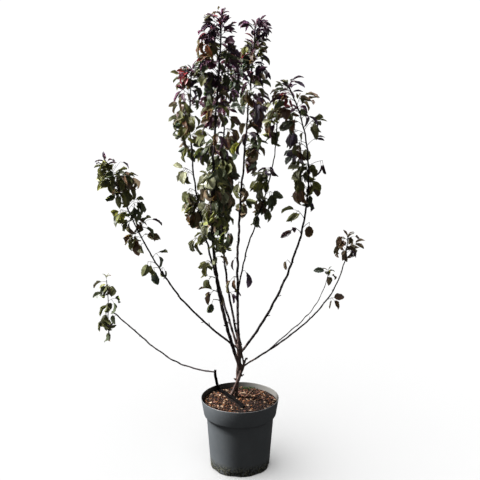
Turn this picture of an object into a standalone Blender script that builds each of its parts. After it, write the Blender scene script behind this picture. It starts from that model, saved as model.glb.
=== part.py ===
# Potted toringo crabapple: a many-stemmed flowering shrub in a round nursery pot.
# Metres, +Z up. The origin is the centre of the pot's flat underside. The front faces -Y.

import math

import bmesh
import bpy
from mathutils import Vector, noise

# Pieces that touch on the plant keep this gap.
GAP = 0.0003

# Nursery pot: an upper band that tapers to a shoulder, and a narrower body below it.
POT_HEIGHT = 0.262
RIM_RADIUS = 0.140
BAND_HEIGHT = 0.070
BAND_FOOT_RADIUS = 0.130
SHOULDER_HEIGHT = 0.012
BODY_TOP_RADIUS = 0.1185
BASE_RADIUS = 0.106
POT_WALL = 0.0025
POT_SIDES = 40

# Growing medium
SOIL_BELOW_RIM = 0.019
SOIL_TOP = POT_HEIGHT - SOIL_BELOW_RIM

# Limbs are tubes on smooth curves. A curve's two handles are this share of the straight
# line from the limb's foot to its tip.
REACH = 0.4
LIMB_RINGS = 13

# A clump is one mass of leaves, strung on a limb. Its ends are narrower than its middle.
CLUMP_RINGS = 6
CLUMP_SIDES = 12
CLUMP_END_SHARE = 0.55
LOBE_DEPTH = 0.45
LOBES_PER_METRE = 14

# Colours and roughness
POT_GREY = (0.045, 0.055, 0.055)
BARK_CHIP_BROWN = (0.24, 0.13, 0.075)
OLD_BARK = (0.11, 0.085, 0.075)
YOUNG_BARK = (0.055, 0.04, 0.04)
LEAF_GREEN = (0.055, 0.07, 0.03)
LEAF_PURPLE = (0.06, 0.03, 0.05)
MATT = 0.85
PLASTIC_ROUGHNESS = 0.55


class Limb:
    """A tapering limb. leave and arrive are its lean off the vertical and its bearing,
    in degrees, at the foot and at the tip. A bearing of 0 is +X and of 90 is +Y.
    thick holds the diameters at the foot and at the tip."""

    def __init__(self, foot, tip, leave, arrive, thick):
        self.foot = Vector(foot)
        self.tip = Vector(tip)
        self.thick = thick
        reach = REACH * (self.tip - self.foot).length
        self.first_handle = self.foot + reach * heading(*leave)
        self.last_handle = self.tip - reach * heading(*arrive)

    def point(self, share):
        rest = 1 - share
        return (rest**3 * self.foot + 3 * rest**2 * share * self.first_handle
                + 3 * rest * share**2 * self.last_handle + share**3 * self.tip)

    def direction(self, share):
        step = 0.001
        return (self.point(share + step) - self.point(share - step)).normalized()

    def radius(self, share):
        foot_diameter, tip_diameter = self.thick
        return (foot_diameter + (tip_diameter - foot_diameter) * share) / 2

    def centres(self, start, end, count):
        """Points from start to end, drawn in by half a gap at each end."""
        shares = [start + (end - start) * index / (count - 1) for index in range(count)]
        points = [self.point(share) for share in shares]
        points[0] += self.direction(start) * GAP / 2
        points[-1] -= self.direction(end) * GAP / 2
        return shares, points


def heading(lean, bearing):
    """The unit vector that leans off the vertical towards a bearing."""
    lean = math.radians(lean)
    bearing = math.radians(bearing)
    return Vector((math.sin(lean) * math.cos(bearing), math.sin(lean) * math.sin(bearing), math.cos(lean)))


# The trunk is a bundle of two fused stems, whose feet cross just above the ground.
UNDERGROUND = 0.012
TRUNK = Limb((-0.014, 0.052, SOIL_TOP - UNDERGROUND), (-0.004, 0.020, 0.455), (8, 270), (3, 180), (0.012, 0.019))
TRUNK_FLARE = 0.004
TRUNK_FLARE_HEIGHT = 0.035
RIGHT_STEM = Limb((-0.034, 0.051, SOIL_TOP - UNDERGROUND), (0.012, 0.018, 0.375), (25, 320), (18, 340), (0.013, 0.011))
RIGHT_STEM_TOP = Limb((0.012, 0.018, 0.372), (0.004, 0.018, 0.428), (6, 0), (12, 180), (0.007, 0.006))
PRUNED_STUB = Limb((0.013, 0.018, 0.376), (0.0225, 0.018, 0.403), (20, 0), (20, 0), (0.007, 0.006))

# One stem was bent down. It lies on the growing medium and turns up inside the rim.
LOW_STEM_RADIUS = 0.0055
LOW_STEM_HEIGHT = SOIL_TOP + 0.8 * LOW_STEM_RADIUS
LOW_STEM = Limb((0.0145, -0.062, LOW_STEM_HEIGHT), (-0.0765, 0.100, LOW_STEM_HEIGHT), (90, 112), (90, 127), (0.011, 0.010))
RISER = Limb((-0.0765, 0.100, LOW_STEM_HEIGHT), (-0.0910, 0.095, 0.327), (22, 190), (0, 0), (0.009, 0.008))

# The boughs, by letter. They are named from the crown's middle outwards.
BOUGHS = {
    "a": Limb((-0.003, 0.018, 0.374), (-0.055, -0.150, 1.605), (21, 215), (12, 285), (0.0125, 0.0035)),
    "b": Limb((-0.011, 0.022, 0.448), (-0.170, 0.200, 1.420), (22, 140), (10, 65), (0.0084, 0.0030)),
    "c": Limb((-0.0025, 0.023, 0.448), (-0.035, 0.130, 1.470), (15, 150), (8, 55), (0.0084, 0.0030)),
    "d": Limb((-0.0035, 0.013, 0.448), (0.050, -0.040, 1.575), (3, 210), (5, 320), (0.0095, 0.0035)),
    "e": Limb((0.004, 0.0285, 0.448), (0.125, 0.200, 1.295), (18, 130), (12, 125), (0.0064, 0.0025)),
    "f": Limb((0.002, 0.018, 0.4225), (0.150, -0.160, 1.385), (39, 320), (36, 225), (0.0090, 0.0030)),
    "g": Limb((0.012, 0.018, 0.372), (0.385, 0.110, 0.835), (64, 20), (12, 85), (0.0070, 0.0025)),
    "h": Limb((-0.003, 0.018, 0.437), (-0.450, -0.070, 1.140), (53, 185), (23, 185), (0.0075, 0.0025)),
    "i": Limb((-0.091, 0.095, 0.319), (-0.475, 0.160, 0.535), (89, 170), (51, 170), (0.0055, 0.0035)),
    "i_tip": Limb((-0.485, 0.155, 0.435), (-0.490, 0.160, 0.660), (3, 235), (5, 185), (0.0030, 0.0020)),
}
G_FORK_SHARE = 0.15
BOUGHS["g_fork"] = Limb(BOUGHS["g"].point(G_FORK_SHARE), (0.310, 0.030, 0.725), (45, 355), (6, 350), (0.0045, 0.0020))

# The bare stretches of each bough, as shares of its curve. Leaves take up the rest.
BARE = {
    "a": [(0.0, 0.33)],
    "b": [(0.0, 0.44), (0.67, 0.72)],
    "c": [(0.0, 0.34)],
    "d": [(0.0, 0.42)],
    "e": [(0.0, 0.51), (0.76, 0.86)],
    "f": [(0.0, 0.59)],
    "g": [(0.0, 0.85)],
    "g_fork": [(0.0, 0.87)],
    "h": [(0.0, 0.61)],
    "i": [(0.0, 0.97)],
}

# Each clump's end on its bough, its width, and how far its middle bulges to +X.
# A run of clumps begins where the bare stretch below it ends.
CLUMPS = {
    "a": [(0.33, ((0.47, 0.120, -0.020), (0.60, 0.106, 0.007), (0.73, 0.105, -0.006),
                  (0.83, 0.113, -0.013), (0.93, 0.145, -0.017), (1.00, 0.115, -0.015)))],
    "b": [(0.44, ((0.57, 0.076, -0.014), (0.67, 0.086, -0.030))),
          (0.72, ((0.87, 0.125, -0.019), (1.01, 0.120, -0.025)))],
    "c": [(0.34, ((0.51, 0.094, 0.001), (0.69, 0.108, 0.008), (0.86, 0.104, 0.003), (1.01, 0.104, -0.002)))],
    "d": [(0.42, ((0.59, 0.086, 0.022), (0.74, 0.102, 0.021), (0.87, 0.114, 0.020),
                  (0.94, 0.090, 0.005), (1.00, 0.088, 0.014)))],
    "e": [(0.51, ((0.76, 0.092, -0.019),)), (0.86, ((1.01, 0.106, 0.001),))],
    "f": [(0.59, ((0.76, 0.145, -0.006), (0.89, 0.150, -0.003), (1.01, 0.140, 0.002)))],
    "g": [(0.85, ((1.02, 0.112, 0.015),))],
    "g_fork": [(0.87, ((1.02, 0.078, -0.006),))],
    "h": [(0.61, ((0.84, 0.132, 0.011), (0.95, 0.145, 0.020), (1.03, 0.105, 0.015)))],
    "i_tip": [(0.01, ((0.64, 0.088, 0.002), (1.01, 0.056, -0.006)))],
}
TOP_CLUMP_ROUNDING = 0.30


def clear_scene():
    for item in list(bpy.data.objects):
        bpy.data.objects.remove(item, do_unlink=True)
    for name in ("toringo_crabapple", "cutters"):
        bpy.context.scene.collection.children.link(bpy.data.collections.new(name))


def paint(piece, colour, roughness):
    """Gives a piece its own material."""
    material = bpy.data.materials.new(piece.name)
    material.use_nodes = True
    shader = material.node_tree.nodes["Principled BSDF"]
    shader.inputs["Base Color"].default_value = (*colour, 1)
    shader.inputs["Roughness"].default_value = roughness
    shader.inputs["Metallic"].default_value = 0
    piece.data.materials.append(material)


def add_piece(name, mesh, collection="toringo_crabapple"):
    piece = bpy.data.objects.new(name, mesh)
    bpy.data.collections[collection].objects.link(piece)
    return piece


def add_cutter(name, mesh):
    cutter = add_piece(name, mesh, "cutters")
    cutter.hide_render = True
    cutter.display_type = "WIRE"
    return cutter


def turned(name, profile):
    """A solid of revolution. The profile is a list of (radius, height) and starts and ends on the axis."""
    mesh = bpy.data.meshes.new(name)
    points = [(radius, 0, height) for radius, height in profile]
    mesh.from_pydata(points, [(index, index + 1) for index in range(len(points) - 1)], [])
    piece = add_piece(name, mesh)
    screw = piece.modifiers.new("Turn", "SCREW")
    screw.steps = POT_SIDES
    screw.render_steps = POT_SIDES
    screw.use_merge_vertices = True
    screw.merge_threshold = 0.00005
    return piece


def pot_outline(inset):
    """The pot's outer line from the rim down to the base, moved inwards by inset."""
    shoulder_top = POT_HEIGHT - BAND_HEIGHT
    corners = (
        (RIM_RADIUS, POT_HEIGHT),
        (BAND_FOOT_RADIUS, shoulder_top),
        (BODY_TOP_RADIUS, shoulder_top - SHOULDER_HEIGHT),
        (BASE_RADIUS, 0.0),
    )
    return [(radius - inset, height) for radius, height in corners]


def make_pot():
    outer = pot_outline(0)
    inner = pot_outline(POT_WALL)
    inner[-1] = (inner[-1][0], POT_WALL)
    pot = turned("pot", [(0, POT_WALL)] + inner[::-1] + outer + [(0, 0)])
    paint(pot, POT_GREY, PLASTIC_ROUGHNESS)


def make_growing_medium():
    inner = pot_outline(POT_WALL + GAP)
    rim, band_foot = inner[0], inner[1]
    share = SOIL_BELOW_RIM / BAND_HEIGHT
    top_radius = rim[0] + (band_foot[0] - rim[0]) * share
    floor = (inner[-1][0], POT_WALL + GAP)
    soil = turned("growing_medium", [(0, SOIL_TOP), (top_radius, SOIL_TOP)] + inner[1:-1] + [floor, (0, floor[1])])
    paint(soil, BARK_CHIP_BROWN, MATT)


def tube_mesh(name, points, radii):
    """A closed tube mesh through the points, with flat caps."""
    curve = bpy.data.curves.new(name, "CURVE")
    curve.dimensions = "3D"
    curve.bevel_depth = 1
    curve.bevel_resolution = 1
    curve.use_fill_caps = True
    spline = curve.splines.new("POLY")
    spline.points.add(len(points) - 1)
    for spot, point, radius in zip(spline.points, points, radii):
        spot.co = (*point, 1)
        spot.radius = radius
    guide = bpy.data.objects.new(name, curve)
    bpy.data.collections["cutters"].objects.link(guide)
    evaluated = guide.evaluated_get(bpy.context.evaluated_depsgraph_get())
    mesh = bpy.data.meshes.new_from_object(evaluated)
    bpy.data.objects.remove(guide, do_unlink=True)
    bpy.data.curves.remove(curve)
    shape = bmesh.new()
    shape.from_mesh(mesh)
    bmesh.ops.remove_doubles(shape, verts=shape.verts, dist=0.00001)
    bmesh.ops.recalc_face_normals(shape, faces=shape.faces)
    shape.to_mesh(mesh)
    shape.free()
    mesh.name = name
    return mesh


def flare(height):
    """Extra radius of the trunk where it spreads into its roots."""
    above = max(height - SOIL_TOP, 0)
    return TRUNK_FLARE * max(1 - above / TRUNK_FLARE_HEIGHT, 0)


def limb_mesh(name, limb, start=0.0, end=1.0, grow=0.0, flared=False):
    shares, points = limb.centres(start, end, LIMB_RINGS)
    radii = [limb.radius(share) + grow for share in shares]
    if flared:
        radii = [radius + flare(point.z) for radius, point in zip(radii, points)]
    return tube_mesh(name, points, radii)


def make_limb(name, limb, colour, start=0.0, end=1.0, flared=False):
    """Makes a limb and a cutter that is larger by the gap, for the pieces seated on it."""
    piece = add_piece(name, limb_mesh(name, limb, start, end, 0, flared))
    add_cutter(name + "_cutter", limb_mesh(name + "_cutter", limb, start, end, GAP, flared))
    paint(piece, colour, MATT)
    return piece


def seat(name, *carriers):
    """Cuts a piece back to the surfaces of the pieces that carry it."""
    piece = bpy.data.objects[name]
    for carrier in carriers:
        cut = piece.modifiers.new("Seat on " + carrier, "BOOLEAN")
        cut.operation = "DIFFERENCE"
        cut.object = bpy.data.objects[carrier + "_cutter"]


def make_ground_cutter():
    """A block whose top is just above the growing medium: it gives each stem its flat foot."""
    block_height = 0.1
    shape = bmesh.new()
    bmesh.ops.create_cube(shape, size=1)
    bmesh.ops.scale(shape, vec=(2 * RIM_RADIUS, 2 * RIM_RADIUS, block_height), verts=shape.verts)
    bmesh.ops.translate(shape, vec=(0, 0, SOIL_TOP + GAP - block_height / 2), verts=shape.verts)
    mesh = bpy.data.meshes.new("ground_cutter")
    shape.to_mesh(mesh)
    shape.free()
    add_cutter("ground_cutter", mesh)


def make_stems():
    make_limb("trunk", TRUNK, OLD_BARK, flared=True)
    make_limb("right_stem", RIGHT_STEM, OLD_BARK, flared=True)
    make_limb("right_stem_top", RIGHT_STEM_TOP, YOUNG_BARK)
    make_limb("pruned_stub", PRUNED_STUB, YOUNG_BARK)
    make_limb("low_stem", LOW_STEM, YOUNG_BARK)
    make_limb("low_stem_riser", RISER, YOUNG_BARK)
    seat("low_stem", "ground")
    seat("low_stem_riser", "ground", "low_stem")
    seat("trunk", "ground", "low_stem")
    seat("right_stem", "ground", "low_stem", "trunk")
    seat("right_stem_top", "right_stem", "trunk")
    seat("pruned_stub", "right_stem", "right_stem_top")


def bough_name(letter, part):
    return "bough_" + letter + ("_upper" if part else "")


def make_boughs():
    for letter, stretches in BARE.items():
        for part, (start, end) in enumerate(stretches):
            make_limb(bough_name(letter, part), BOUGHS[letter], YOUNG_BARK, start, end)
    seat("bough_a", "trunk", "right_stem")
    seat("bough_f", "trunk", "right_stem_top", "right_stem", "pruned_stub")
    seat("bough_g", "right_stem", "right_stem_top", "pruned_stub", "trunk")
    seat("bough_g_fork", "bough_g")
    seat("bough_h", "trunk", "bough_b", "bough_a")
    for letter in "bcde":
        seat("bough_" + letter, "trunk")
    seat("bough_i", "low_stem_riser")


def clump_mesh(name, limb, start, end, width, bulge, is_top):
    """A loft of lobed rings along a limb, closed by a flat face at each end."""
    shares, centres = limb.centres(start, end, CLUMP_RINGS)
    shape = bmesh.new()
    loops = []
    for index, (share, centre) in enumerate(zip(shares, centres)):
        along = index / (CLUMP_RINGS - 1)
        swell = math.sin(math.pi * along)
        end_share = CLUMP_END_SHARE
        if is_top and along > 0.5:
            end_share = TOP_CLUMP_ROUNDING
        radius = width / 2 * (end_share + (1 - end_share) * swell)
        ring = bmesh.ops.create_circle(
            shape, cap_ends=index in (0, CLUMP_RINGS - 1), radius=radius, segments=CLUMP_SIDES)["verts"]
        turn = Vector((0, 0, 1)).rotation_difference(limb.direction(share))
        middle = centre + Vector((bulge * swell, 0, 0))
        for vert in ring:
            spoke = turn @ vert.co
            lobe = 1 + LOBE_DEPTH * noise.noise((middle + spoke) * LOBES_PER_METRE)
            vert.co = middle + spoke * lobe
        loops.append({edge for vert in ring for edge in vert.link_edges})
    for lower, upper in zip(loops, loops[1:]):
        bmesh.ops.bridge_loops(shape, edges=list(lower | upper))
    bmesh.ops.recalc_face_normals(shape, faces=shape.faces)
    mesh = bpy.data.meshes.new(name)
    shape.to_mesh(mesh)
    shape.free()
    return mesh


def make_clumps():
    """Makes the masses of leaves. The uppermost ones are purple."""
    for letter, runs in CLUMPS.items():
        number = 0
        for start, clumps in runs:
            for end, width, bulge in clumps:
                number += 1
                is_top = end >= 1
                name = "leaves_" + letter + "_" + str(number)
                piece = add_piece(name, clump_mesh(name, BOUGHS[letter], start, end, width, bulge, is_top))
                paint(piece, LEAF_PURPLE if is_top else LEAF_GREEN, MATT)
                start = end


def seat_low_shoot():
    """The low shoot ends where it enters the leaves round its upturned tip."""
    limb = BOUGHS["i_tip"]
    start, clumps = CLUMPS["i_tip"][0]
    end, width, bulge = clumps[0]
    add_cutter("leaves_i_tip_1_cutter", clump_mesh("cutter", limb, start, end, width + 2 * GAP, bulge, False))
    seat("bough_i", "leaves_i_tip_1")


clear_scene()
make_pot()
make_growing_medium()
make_ground_cutter()
make_stems()
make_boughs()
make_clumps()
seat_low_shoot()
for item in bpy.data.collections["toringo_crabapple"].objects:
    item.data.shade_smooth()
    item.data.set_sharp_from_angle(angle=math.radians(35))
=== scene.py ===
# %% [markdown]
# # A potted toringo crabapple
# This lesson models a young flowering shrub in a round nursery pot. It stands 1.6 metres tall,
# and its boughs rise from two stems that cross just above the pot. The steps follow the way the
# plant stands: pot, growing medium, stems, boughs, twigs and leaves.
# Lengths are in metres, +Z is up and the front faces -Y.

# %% Load the frame
import math
import random

import bmesh
import bpy
from mathutils import Matrix, Quaternion, Vector, noise
from mathutils.bvhtree import BVHTree
from mathutils.geometry import intersect_point_line


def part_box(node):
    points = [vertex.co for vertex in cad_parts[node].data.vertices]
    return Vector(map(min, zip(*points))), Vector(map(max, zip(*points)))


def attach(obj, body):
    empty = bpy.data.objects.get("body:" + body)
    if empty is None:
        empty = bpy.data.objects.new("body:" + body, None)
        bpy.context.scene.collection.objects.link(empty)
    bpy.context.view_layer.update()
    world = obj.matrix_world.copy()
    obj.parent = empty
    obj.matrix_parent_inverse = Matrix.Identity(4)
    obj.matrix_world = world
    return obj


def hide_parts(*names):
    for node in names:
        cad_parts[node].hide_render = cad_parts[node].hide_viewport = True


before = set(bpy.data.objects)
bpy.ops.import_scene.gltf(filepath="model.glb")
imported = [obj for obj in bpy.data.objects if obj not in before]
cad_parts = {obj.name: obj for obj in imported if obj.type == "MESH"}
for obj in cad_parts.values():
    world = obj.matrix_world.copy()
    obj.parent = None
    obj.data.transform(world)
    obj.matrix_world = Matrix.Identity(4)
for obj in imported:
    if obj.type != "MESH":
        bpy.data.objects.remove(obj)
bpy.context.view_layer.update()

# %% [markdown]
# ## The camera
# The photographer stood about three metres away, with the camera at the height of the top
# leaves and tipped down. That shows the growing medium as an oval inside the rim. The lens and
# the tilt were worked out from the oval of the rim and the foot of the pot. The Standard view
# transform keeps the ground white and the leaves dark, as they are in the photograph.

# %% Set the camera
CAMERA_PLACE = (0, -3.1, 1.595)
CAMERA_PITCH_DEGREES = 13.66
LENS_MM = 69.46
SENSOR_WIDTH_MM = 36
camera_data = bpy.data.cameras.new("camera")
camera_data.lens = LENS_MM
camera_data.sensor_width = SENSOR_WIDTH_MM
camera = bpy.data.objects.new("camera", camera_data)
camera.location = CAMERA_PLACE
camera.rotation_euler = (math.radians(90 - CAMERA_PITCH_DEGREES), 0, 0)
bpy.context.scene.collection.objects.link(camera)
bpy.context.scene.camera = camera
bpy.context.scene.view_settings.view_transform = "Standard"
print("The camera looks down by", CAMERA_PITCH_DEGREES, "degrees")

# %% [markdown]
# ## Tools for pieces
# Every piece starts as a bmesh, an editable mesh that the operators work on. When its shape is
# done it becomes an object at the origin. It then rides on the plant's one body, and hides the
# plain solids of the frame that it stands for.


# %% Turn a finished bmesh into a piece
def make_piece(name, shape, materials, nodes=()):
    """Makes a smooth object from a bmesh, with one or more materials."""
    for face in shape.faces:
        face.smooth = True
    mesh = bpy.data.meshes.new(name)
    shape.to_mesh(mesh)
    shape.free()
    for material in materials:
        mesh.materials.append(material)
    piece = bpy.data.objects.new(name, mesh)
    bpy.context.scene.collection.objects.link(piece)
    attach(piece, "root")
    if nodes:
        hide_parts(*nodes)
    print(name, "has", len(mesh.polygons), "faces")
    return piece


def stamp(shape, template, matrix):
    """Adds a copy of a template mesh to a bmesh, moved by a matrix."""
    first = len(shape.verts)
    shape.from_mesh(template)
    shape.verts.ensure_lookup_table()
    bmesh.ops.transform(shape, matrix=matrix, verts=shape.verts[first:])


def as_template(name, shape):
    """Keeps a small bmesh as a mesh that can be stamped many times."""
    for face in shape.faces:
        face.smooth = True
    mesh = bpy.data.meshes.new(name)
    shape.to_mesh(mesh)
    shape.free()
    return mesh


# %% [markdown]
# ## Tools for finishes
# A finish is a network of nodes. Short helpers keep the networks readable: they add a node and
# fill its inputs, mix two colours by a mask, do a sum, turn a value into a mask, or raise a bump.
# The noise patterns that several finishes share are node groups, so that each finish only states
# its own numbers.


# %% Add nodes
def add_node(tree, kind, settings=None, **inputs):
    """Adds a node. An input's name is written with _ for a space, and takes a value or a socket."""
    node = tree.nodes.new(kind)
    for name, value in (settings or {}).items():
        setattr(node, name, value)
    for name, value in inputs.items():
        socket = node.inputs[name.replace("_", " ")]
        if isinstance(value, bpy.types.NodeSocket):
            tree.links.new(value, socket)
        else:
            socket.default_value = value
    return node


def mix_colours(tree, mask, first, second):
    """The first colour where the mask is 0 and the second where it is 1."""
    node = tree.nodes.new("ShaderNodeMix")
    node.data_type = "RGBA"
    factor, first_socket, second_socket = node.inputs[0], node.inputs[6], node.inputs[7]
    tree.links.new(mask, factor)
    for socket, colour in ((first_socket, first), (second_socket, second)):
        if isinstance(colour, bpy.types.NodeSocket):
            tree.links.new(colour, socket)
        else:
            socket.default_value = (*colour, 1)
    return node.outputs[2]


def calculate(tree, operation, *values):
    """A sum on up to three numbers or sockets."""
    node = tree.nodes.new("ShaderNodeMath")
    node.operation = operation
    for socket, value in zip(node.inputs, values):
        if isinstance(value, bpy.types.NodeSocket):
            tree.links.new(value, socket)
        else:
            socket.default_value = value
    return node.outputs[0]


def ramp(tree, value, low, high, top=1.0):
    """A mask that is 0 where a value is at low and rises to top where it is at high."""
    node = add_node(tree, "ShaderNodeMapRange", Value=value, From_Min=low, From_Max=high, To_Max=top)
    return node.outputs["Result"]


def add_bump(tree, shader, height, strength, distance):
    """Lets a height raise the surface, through a Bump node."""
    bump = add_node(tree, "ShaderNodeBump", Strength=strength, Distance=distance, Height=height)
    tree.links.new(bump.outputs["Normal"], shader.inputs["Normal"])


def new_material(name, roughness, specular=0.5):
    """A material whose Principled shader has a plain roughness. Returns material, tree, shader."""
    material = bpy.data.materials.new(name)
    material.use_nodes = True
    shader = material.node_tree.nodes["Principled BSDF"]
    shader.inputs["Roughness"].default_value = roughness
    shader.inputs["Specular IOR Level"].default_value = specular
    return material, material.node_tree, shader


def new_group(name, inputs, outputs):
    """A node group with number inputs, after a Vector input, and number outputs."""
    group = bpy.data.node_groups.new(name, "ShaderNodeTree")
    group.interface.new_socket("Vector", in_out="INPUT", socket_type="NodeSocketVector")
    for label, value in inputs:
        socket = group.interface.new_socket(label, in_out="INPUT", socket_type="NodeSocketFloat")
        socket.default_value = value
    for label in outputs:
        group.interface.new_socket(label, in_out="OUTPUT", socket_type="NodeSocketFloat")
    return group, group.nodes.new("NodeGroupInput").outputs, group.nodes.new("NodeGroupOutput").inputs


# %% The mottle group: noise cut to a mask
mottle, entry, leave = new_group(
    "mottle", (("Scale", 40.0), ("Detail", 5.0), ("Low", 0.4), ("High", 0.6)), ("Mask",))
mottle_noise = add_node(
    mottle, "ShaderNodeTexNoise", Vector=entry["Vector"], Scale=entry["Scale"], Detail=entry["Detail"])
mottle_mask = ramp(mottle, mottle_noise.outputs["Fac"], entry["Low"], entry["High"])
mottle.links.new(mottle_mask, leave["Mask"])


def add_mottle(tree, vector, scale, detail, low, high):
    """Places the mottle group in a material and returns its mask."""
    node = add_node(
        tree, "ShaderNodeGroup", {"node_tree": mottle},
        Vector=vector, Scale=scale, Detail=detail, Low=low, High=high)
    return node.outputs["Mask"]


print("mottle has", len(mottle.nodes), "nodes")

# %% The bark group: ridges that run along a limb, and pale pores across it
bark, entry, leave = new_group(
    "bark", (("Ridge Scale", 300.0), ("Pore Amount", 0.3)), ("Ridges", "Pores"))
drawn_out = add_node(bark, "ShaderNodeMapping", Vector=entry["Vector"], Scale=(1, 1, 0.12))
ridge_noise = add_node(
    bark, "ShaderNodeTexNoise", Vector=drawn_out.outputs["Vector"],
    Scale=entry["Ridge Scale"], Detail=6.0)
bark.links.new(ramp(bark, ridge_noise.outputs["Fac"], 0.35, 0.65), leave["Ridges"])
squashed = add_node(bark, "ShaderNodeMapping", Vector=entry["Vector"], Scale=(1, 1, 2.4))
pore_cells = add_node(
    bark, "ShaderNodeTexVoronoi", Vector=squashed.outputs["Vector"], Scale=190.0)
pore_mask = ramp(bark, pore_cells.outputs["Distance"], 0.34, 0.20)
pores = calculate(bark, "MULTIPLY", pore_mask, entry["Pore Amount"])
bark.links.new(pores, leave["Pores"])
print("bark has", len(bark.nodes), "nodes")

# %% [markdown]
# ## The nursery pot
# A nursery pot is one thin skin of blown or pressed plastic. A tapered band round its mouth
# stiffens it, then a soft shoulder leads to a narrower body. It is a turned shape, so half its
# outline is drawn once and spun about the upright axis. The foot has notches that let water
# out from under the pot.

# %% Draw the outline of the pot and spin it
POT_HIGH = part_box("pot")[1]
POT_HEIGHT = POT_HIGH.z
RIM_RADIUS = POT_HIGH.x
INSIDE_THE_BOX = 0.0004
BAND_FOOT = (0.1305, 0.203)
BODY_TOP = (0.1205, 0.189)
BASE_RADIUS = 0.1072
WALL = 0.0025
SPIN_STEPS = 96


def shoulder(inset, steps=7):
    """Points down the soft step between the band and the body."""
    points = []
    for index in range(steps):
        down = index / (steps - 1)
        ease = down * down * (3 - 2 * down)
        radius = BAND_FOOT[0] + (BODY_TOP[0] - BAND_FOOT[0]) * ease
        height = BAND_FOOT[1] + (BODY_TOP[1] - BAND_FOOT[1]) * down
        points.append((radius - inset, height))
    return points


def lip(steps=7):
    """A half round over the top of the wall, from outside to inside."""
    middle = RIM_RADIUS - WALL / 2 - INSIDE_THE_BOX
    points = []
    for index in range(steps):
        angle = math.pi * index / (steps - 1)
        height = POT_HEIGHT - WALL / 2 + WALL / 2 * math.sin(angle)
        points.append((middle + WALL / 2 * math.cos(angle), height))
    return points


def body_rings(inset, heights):
    """Points on the tapered body at some heights."""
    slope = (BODY_TOP[0] - BASE_RADIUS) / BODY_TOP[1]
    return [(BASE_RADIUS + slope * height - inset, height) for height in heights]


def spin_profile(profile):
    """Turns a profile of (radius, height) about the Z axis into a closed bmesh."""
    shape = bmesh.new()
    verts = [shape.verts.new((radius, 0, height)) for radius, height in profile]
    edges = [shape.edges.new(pair) for pair in zip(verts, verts[1:])]
    bmesh.ops.spin(
        shape, geom=verts + edges, cent=(0, 0, 0), axis=(0, 0, 1),
        angle=math.tau, steps=SPIN_STEPS, use_merge=True)
    bmesh.ops.remove_doubles(shape, verts=shape.verts, dist=0.00001)
    bmesh.ops.recalc_face_normals(shape, faces=shape.faces)
    return shape


UNDERSIDE_HEIGHT = 0.004
FOOT_RING_RADIUS = 0.097
outer_heights = (0.160, 0.130, 0.100, 0.070, 0.045, 0.028, 0.020, 0.016, 0.012, 0.008, 0.004)
inner_heights = (0.150, 0.100, 0.050, UNDERSIDE_HEIGHT + WALL)
pot_profile = (
    [(0, UNDERSIDE_HEIGHT + WALL)]
    + body_rings(WALL, inner_heights)[::-1] + shoulder(WALL)[::-1] + lip()[::-1]
    + shoulder(0) + body_rings(0, outer_heights)
    + [(BASE_RADIUS - 0.001, 0.001), (BASE_RADIUS - 0.003, 0), (FOOT_RING_RADIUS, 0)]
    + [(FOOT_RING_RADIUS - 0.002, UNDERSIDE_HEIGHT), (0, UNDERSIDE_HEIGHT)]
)
pot_shape = spin_profile(pot_profile)
print("The pot's outline has", len(pot_profile), "points")

# %% Press the drain notches into the foot and let the wall wander a little
NOTCHES = 8
NOTCH_TURN = math.radians(-56)
NOTCH_DEPTH = 0.0035
NOTCH_TOP = 0.017
WANDER = 0.0006
WANDER_WAVES_PER_METRE = 9
for vert in pot_shape.verts:
    radius = math.hypot(vert.co.x, vert.co.y)
    if radius < FOOT_RING_RADIUS - 0.004:
        continue
    bearing = math.atan2(vert.co.y, vert.co.x)
    inward = 0.0
    if vert.co.z < NOTCH_TOP:
        crest = max(math.cos((bearing - NOTCH_TURN) * NOTCHES), 0)
        rise = 1 - (vert.co.z / NOTCH_TOP) ** 2
        inward = NOTCH_DEPTH * crest * rise
    wander = WANDER * noise.noise(vert.co * WANDER_WAVES_PER_METRE)
    scale = (radius - inward + wander - INSIDE_THE_BOX) / radius
    vert.co.x *= scale
    vert.co.y *= scale
print("Pressed", NOTCHES, "notches into the foot")
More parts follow.
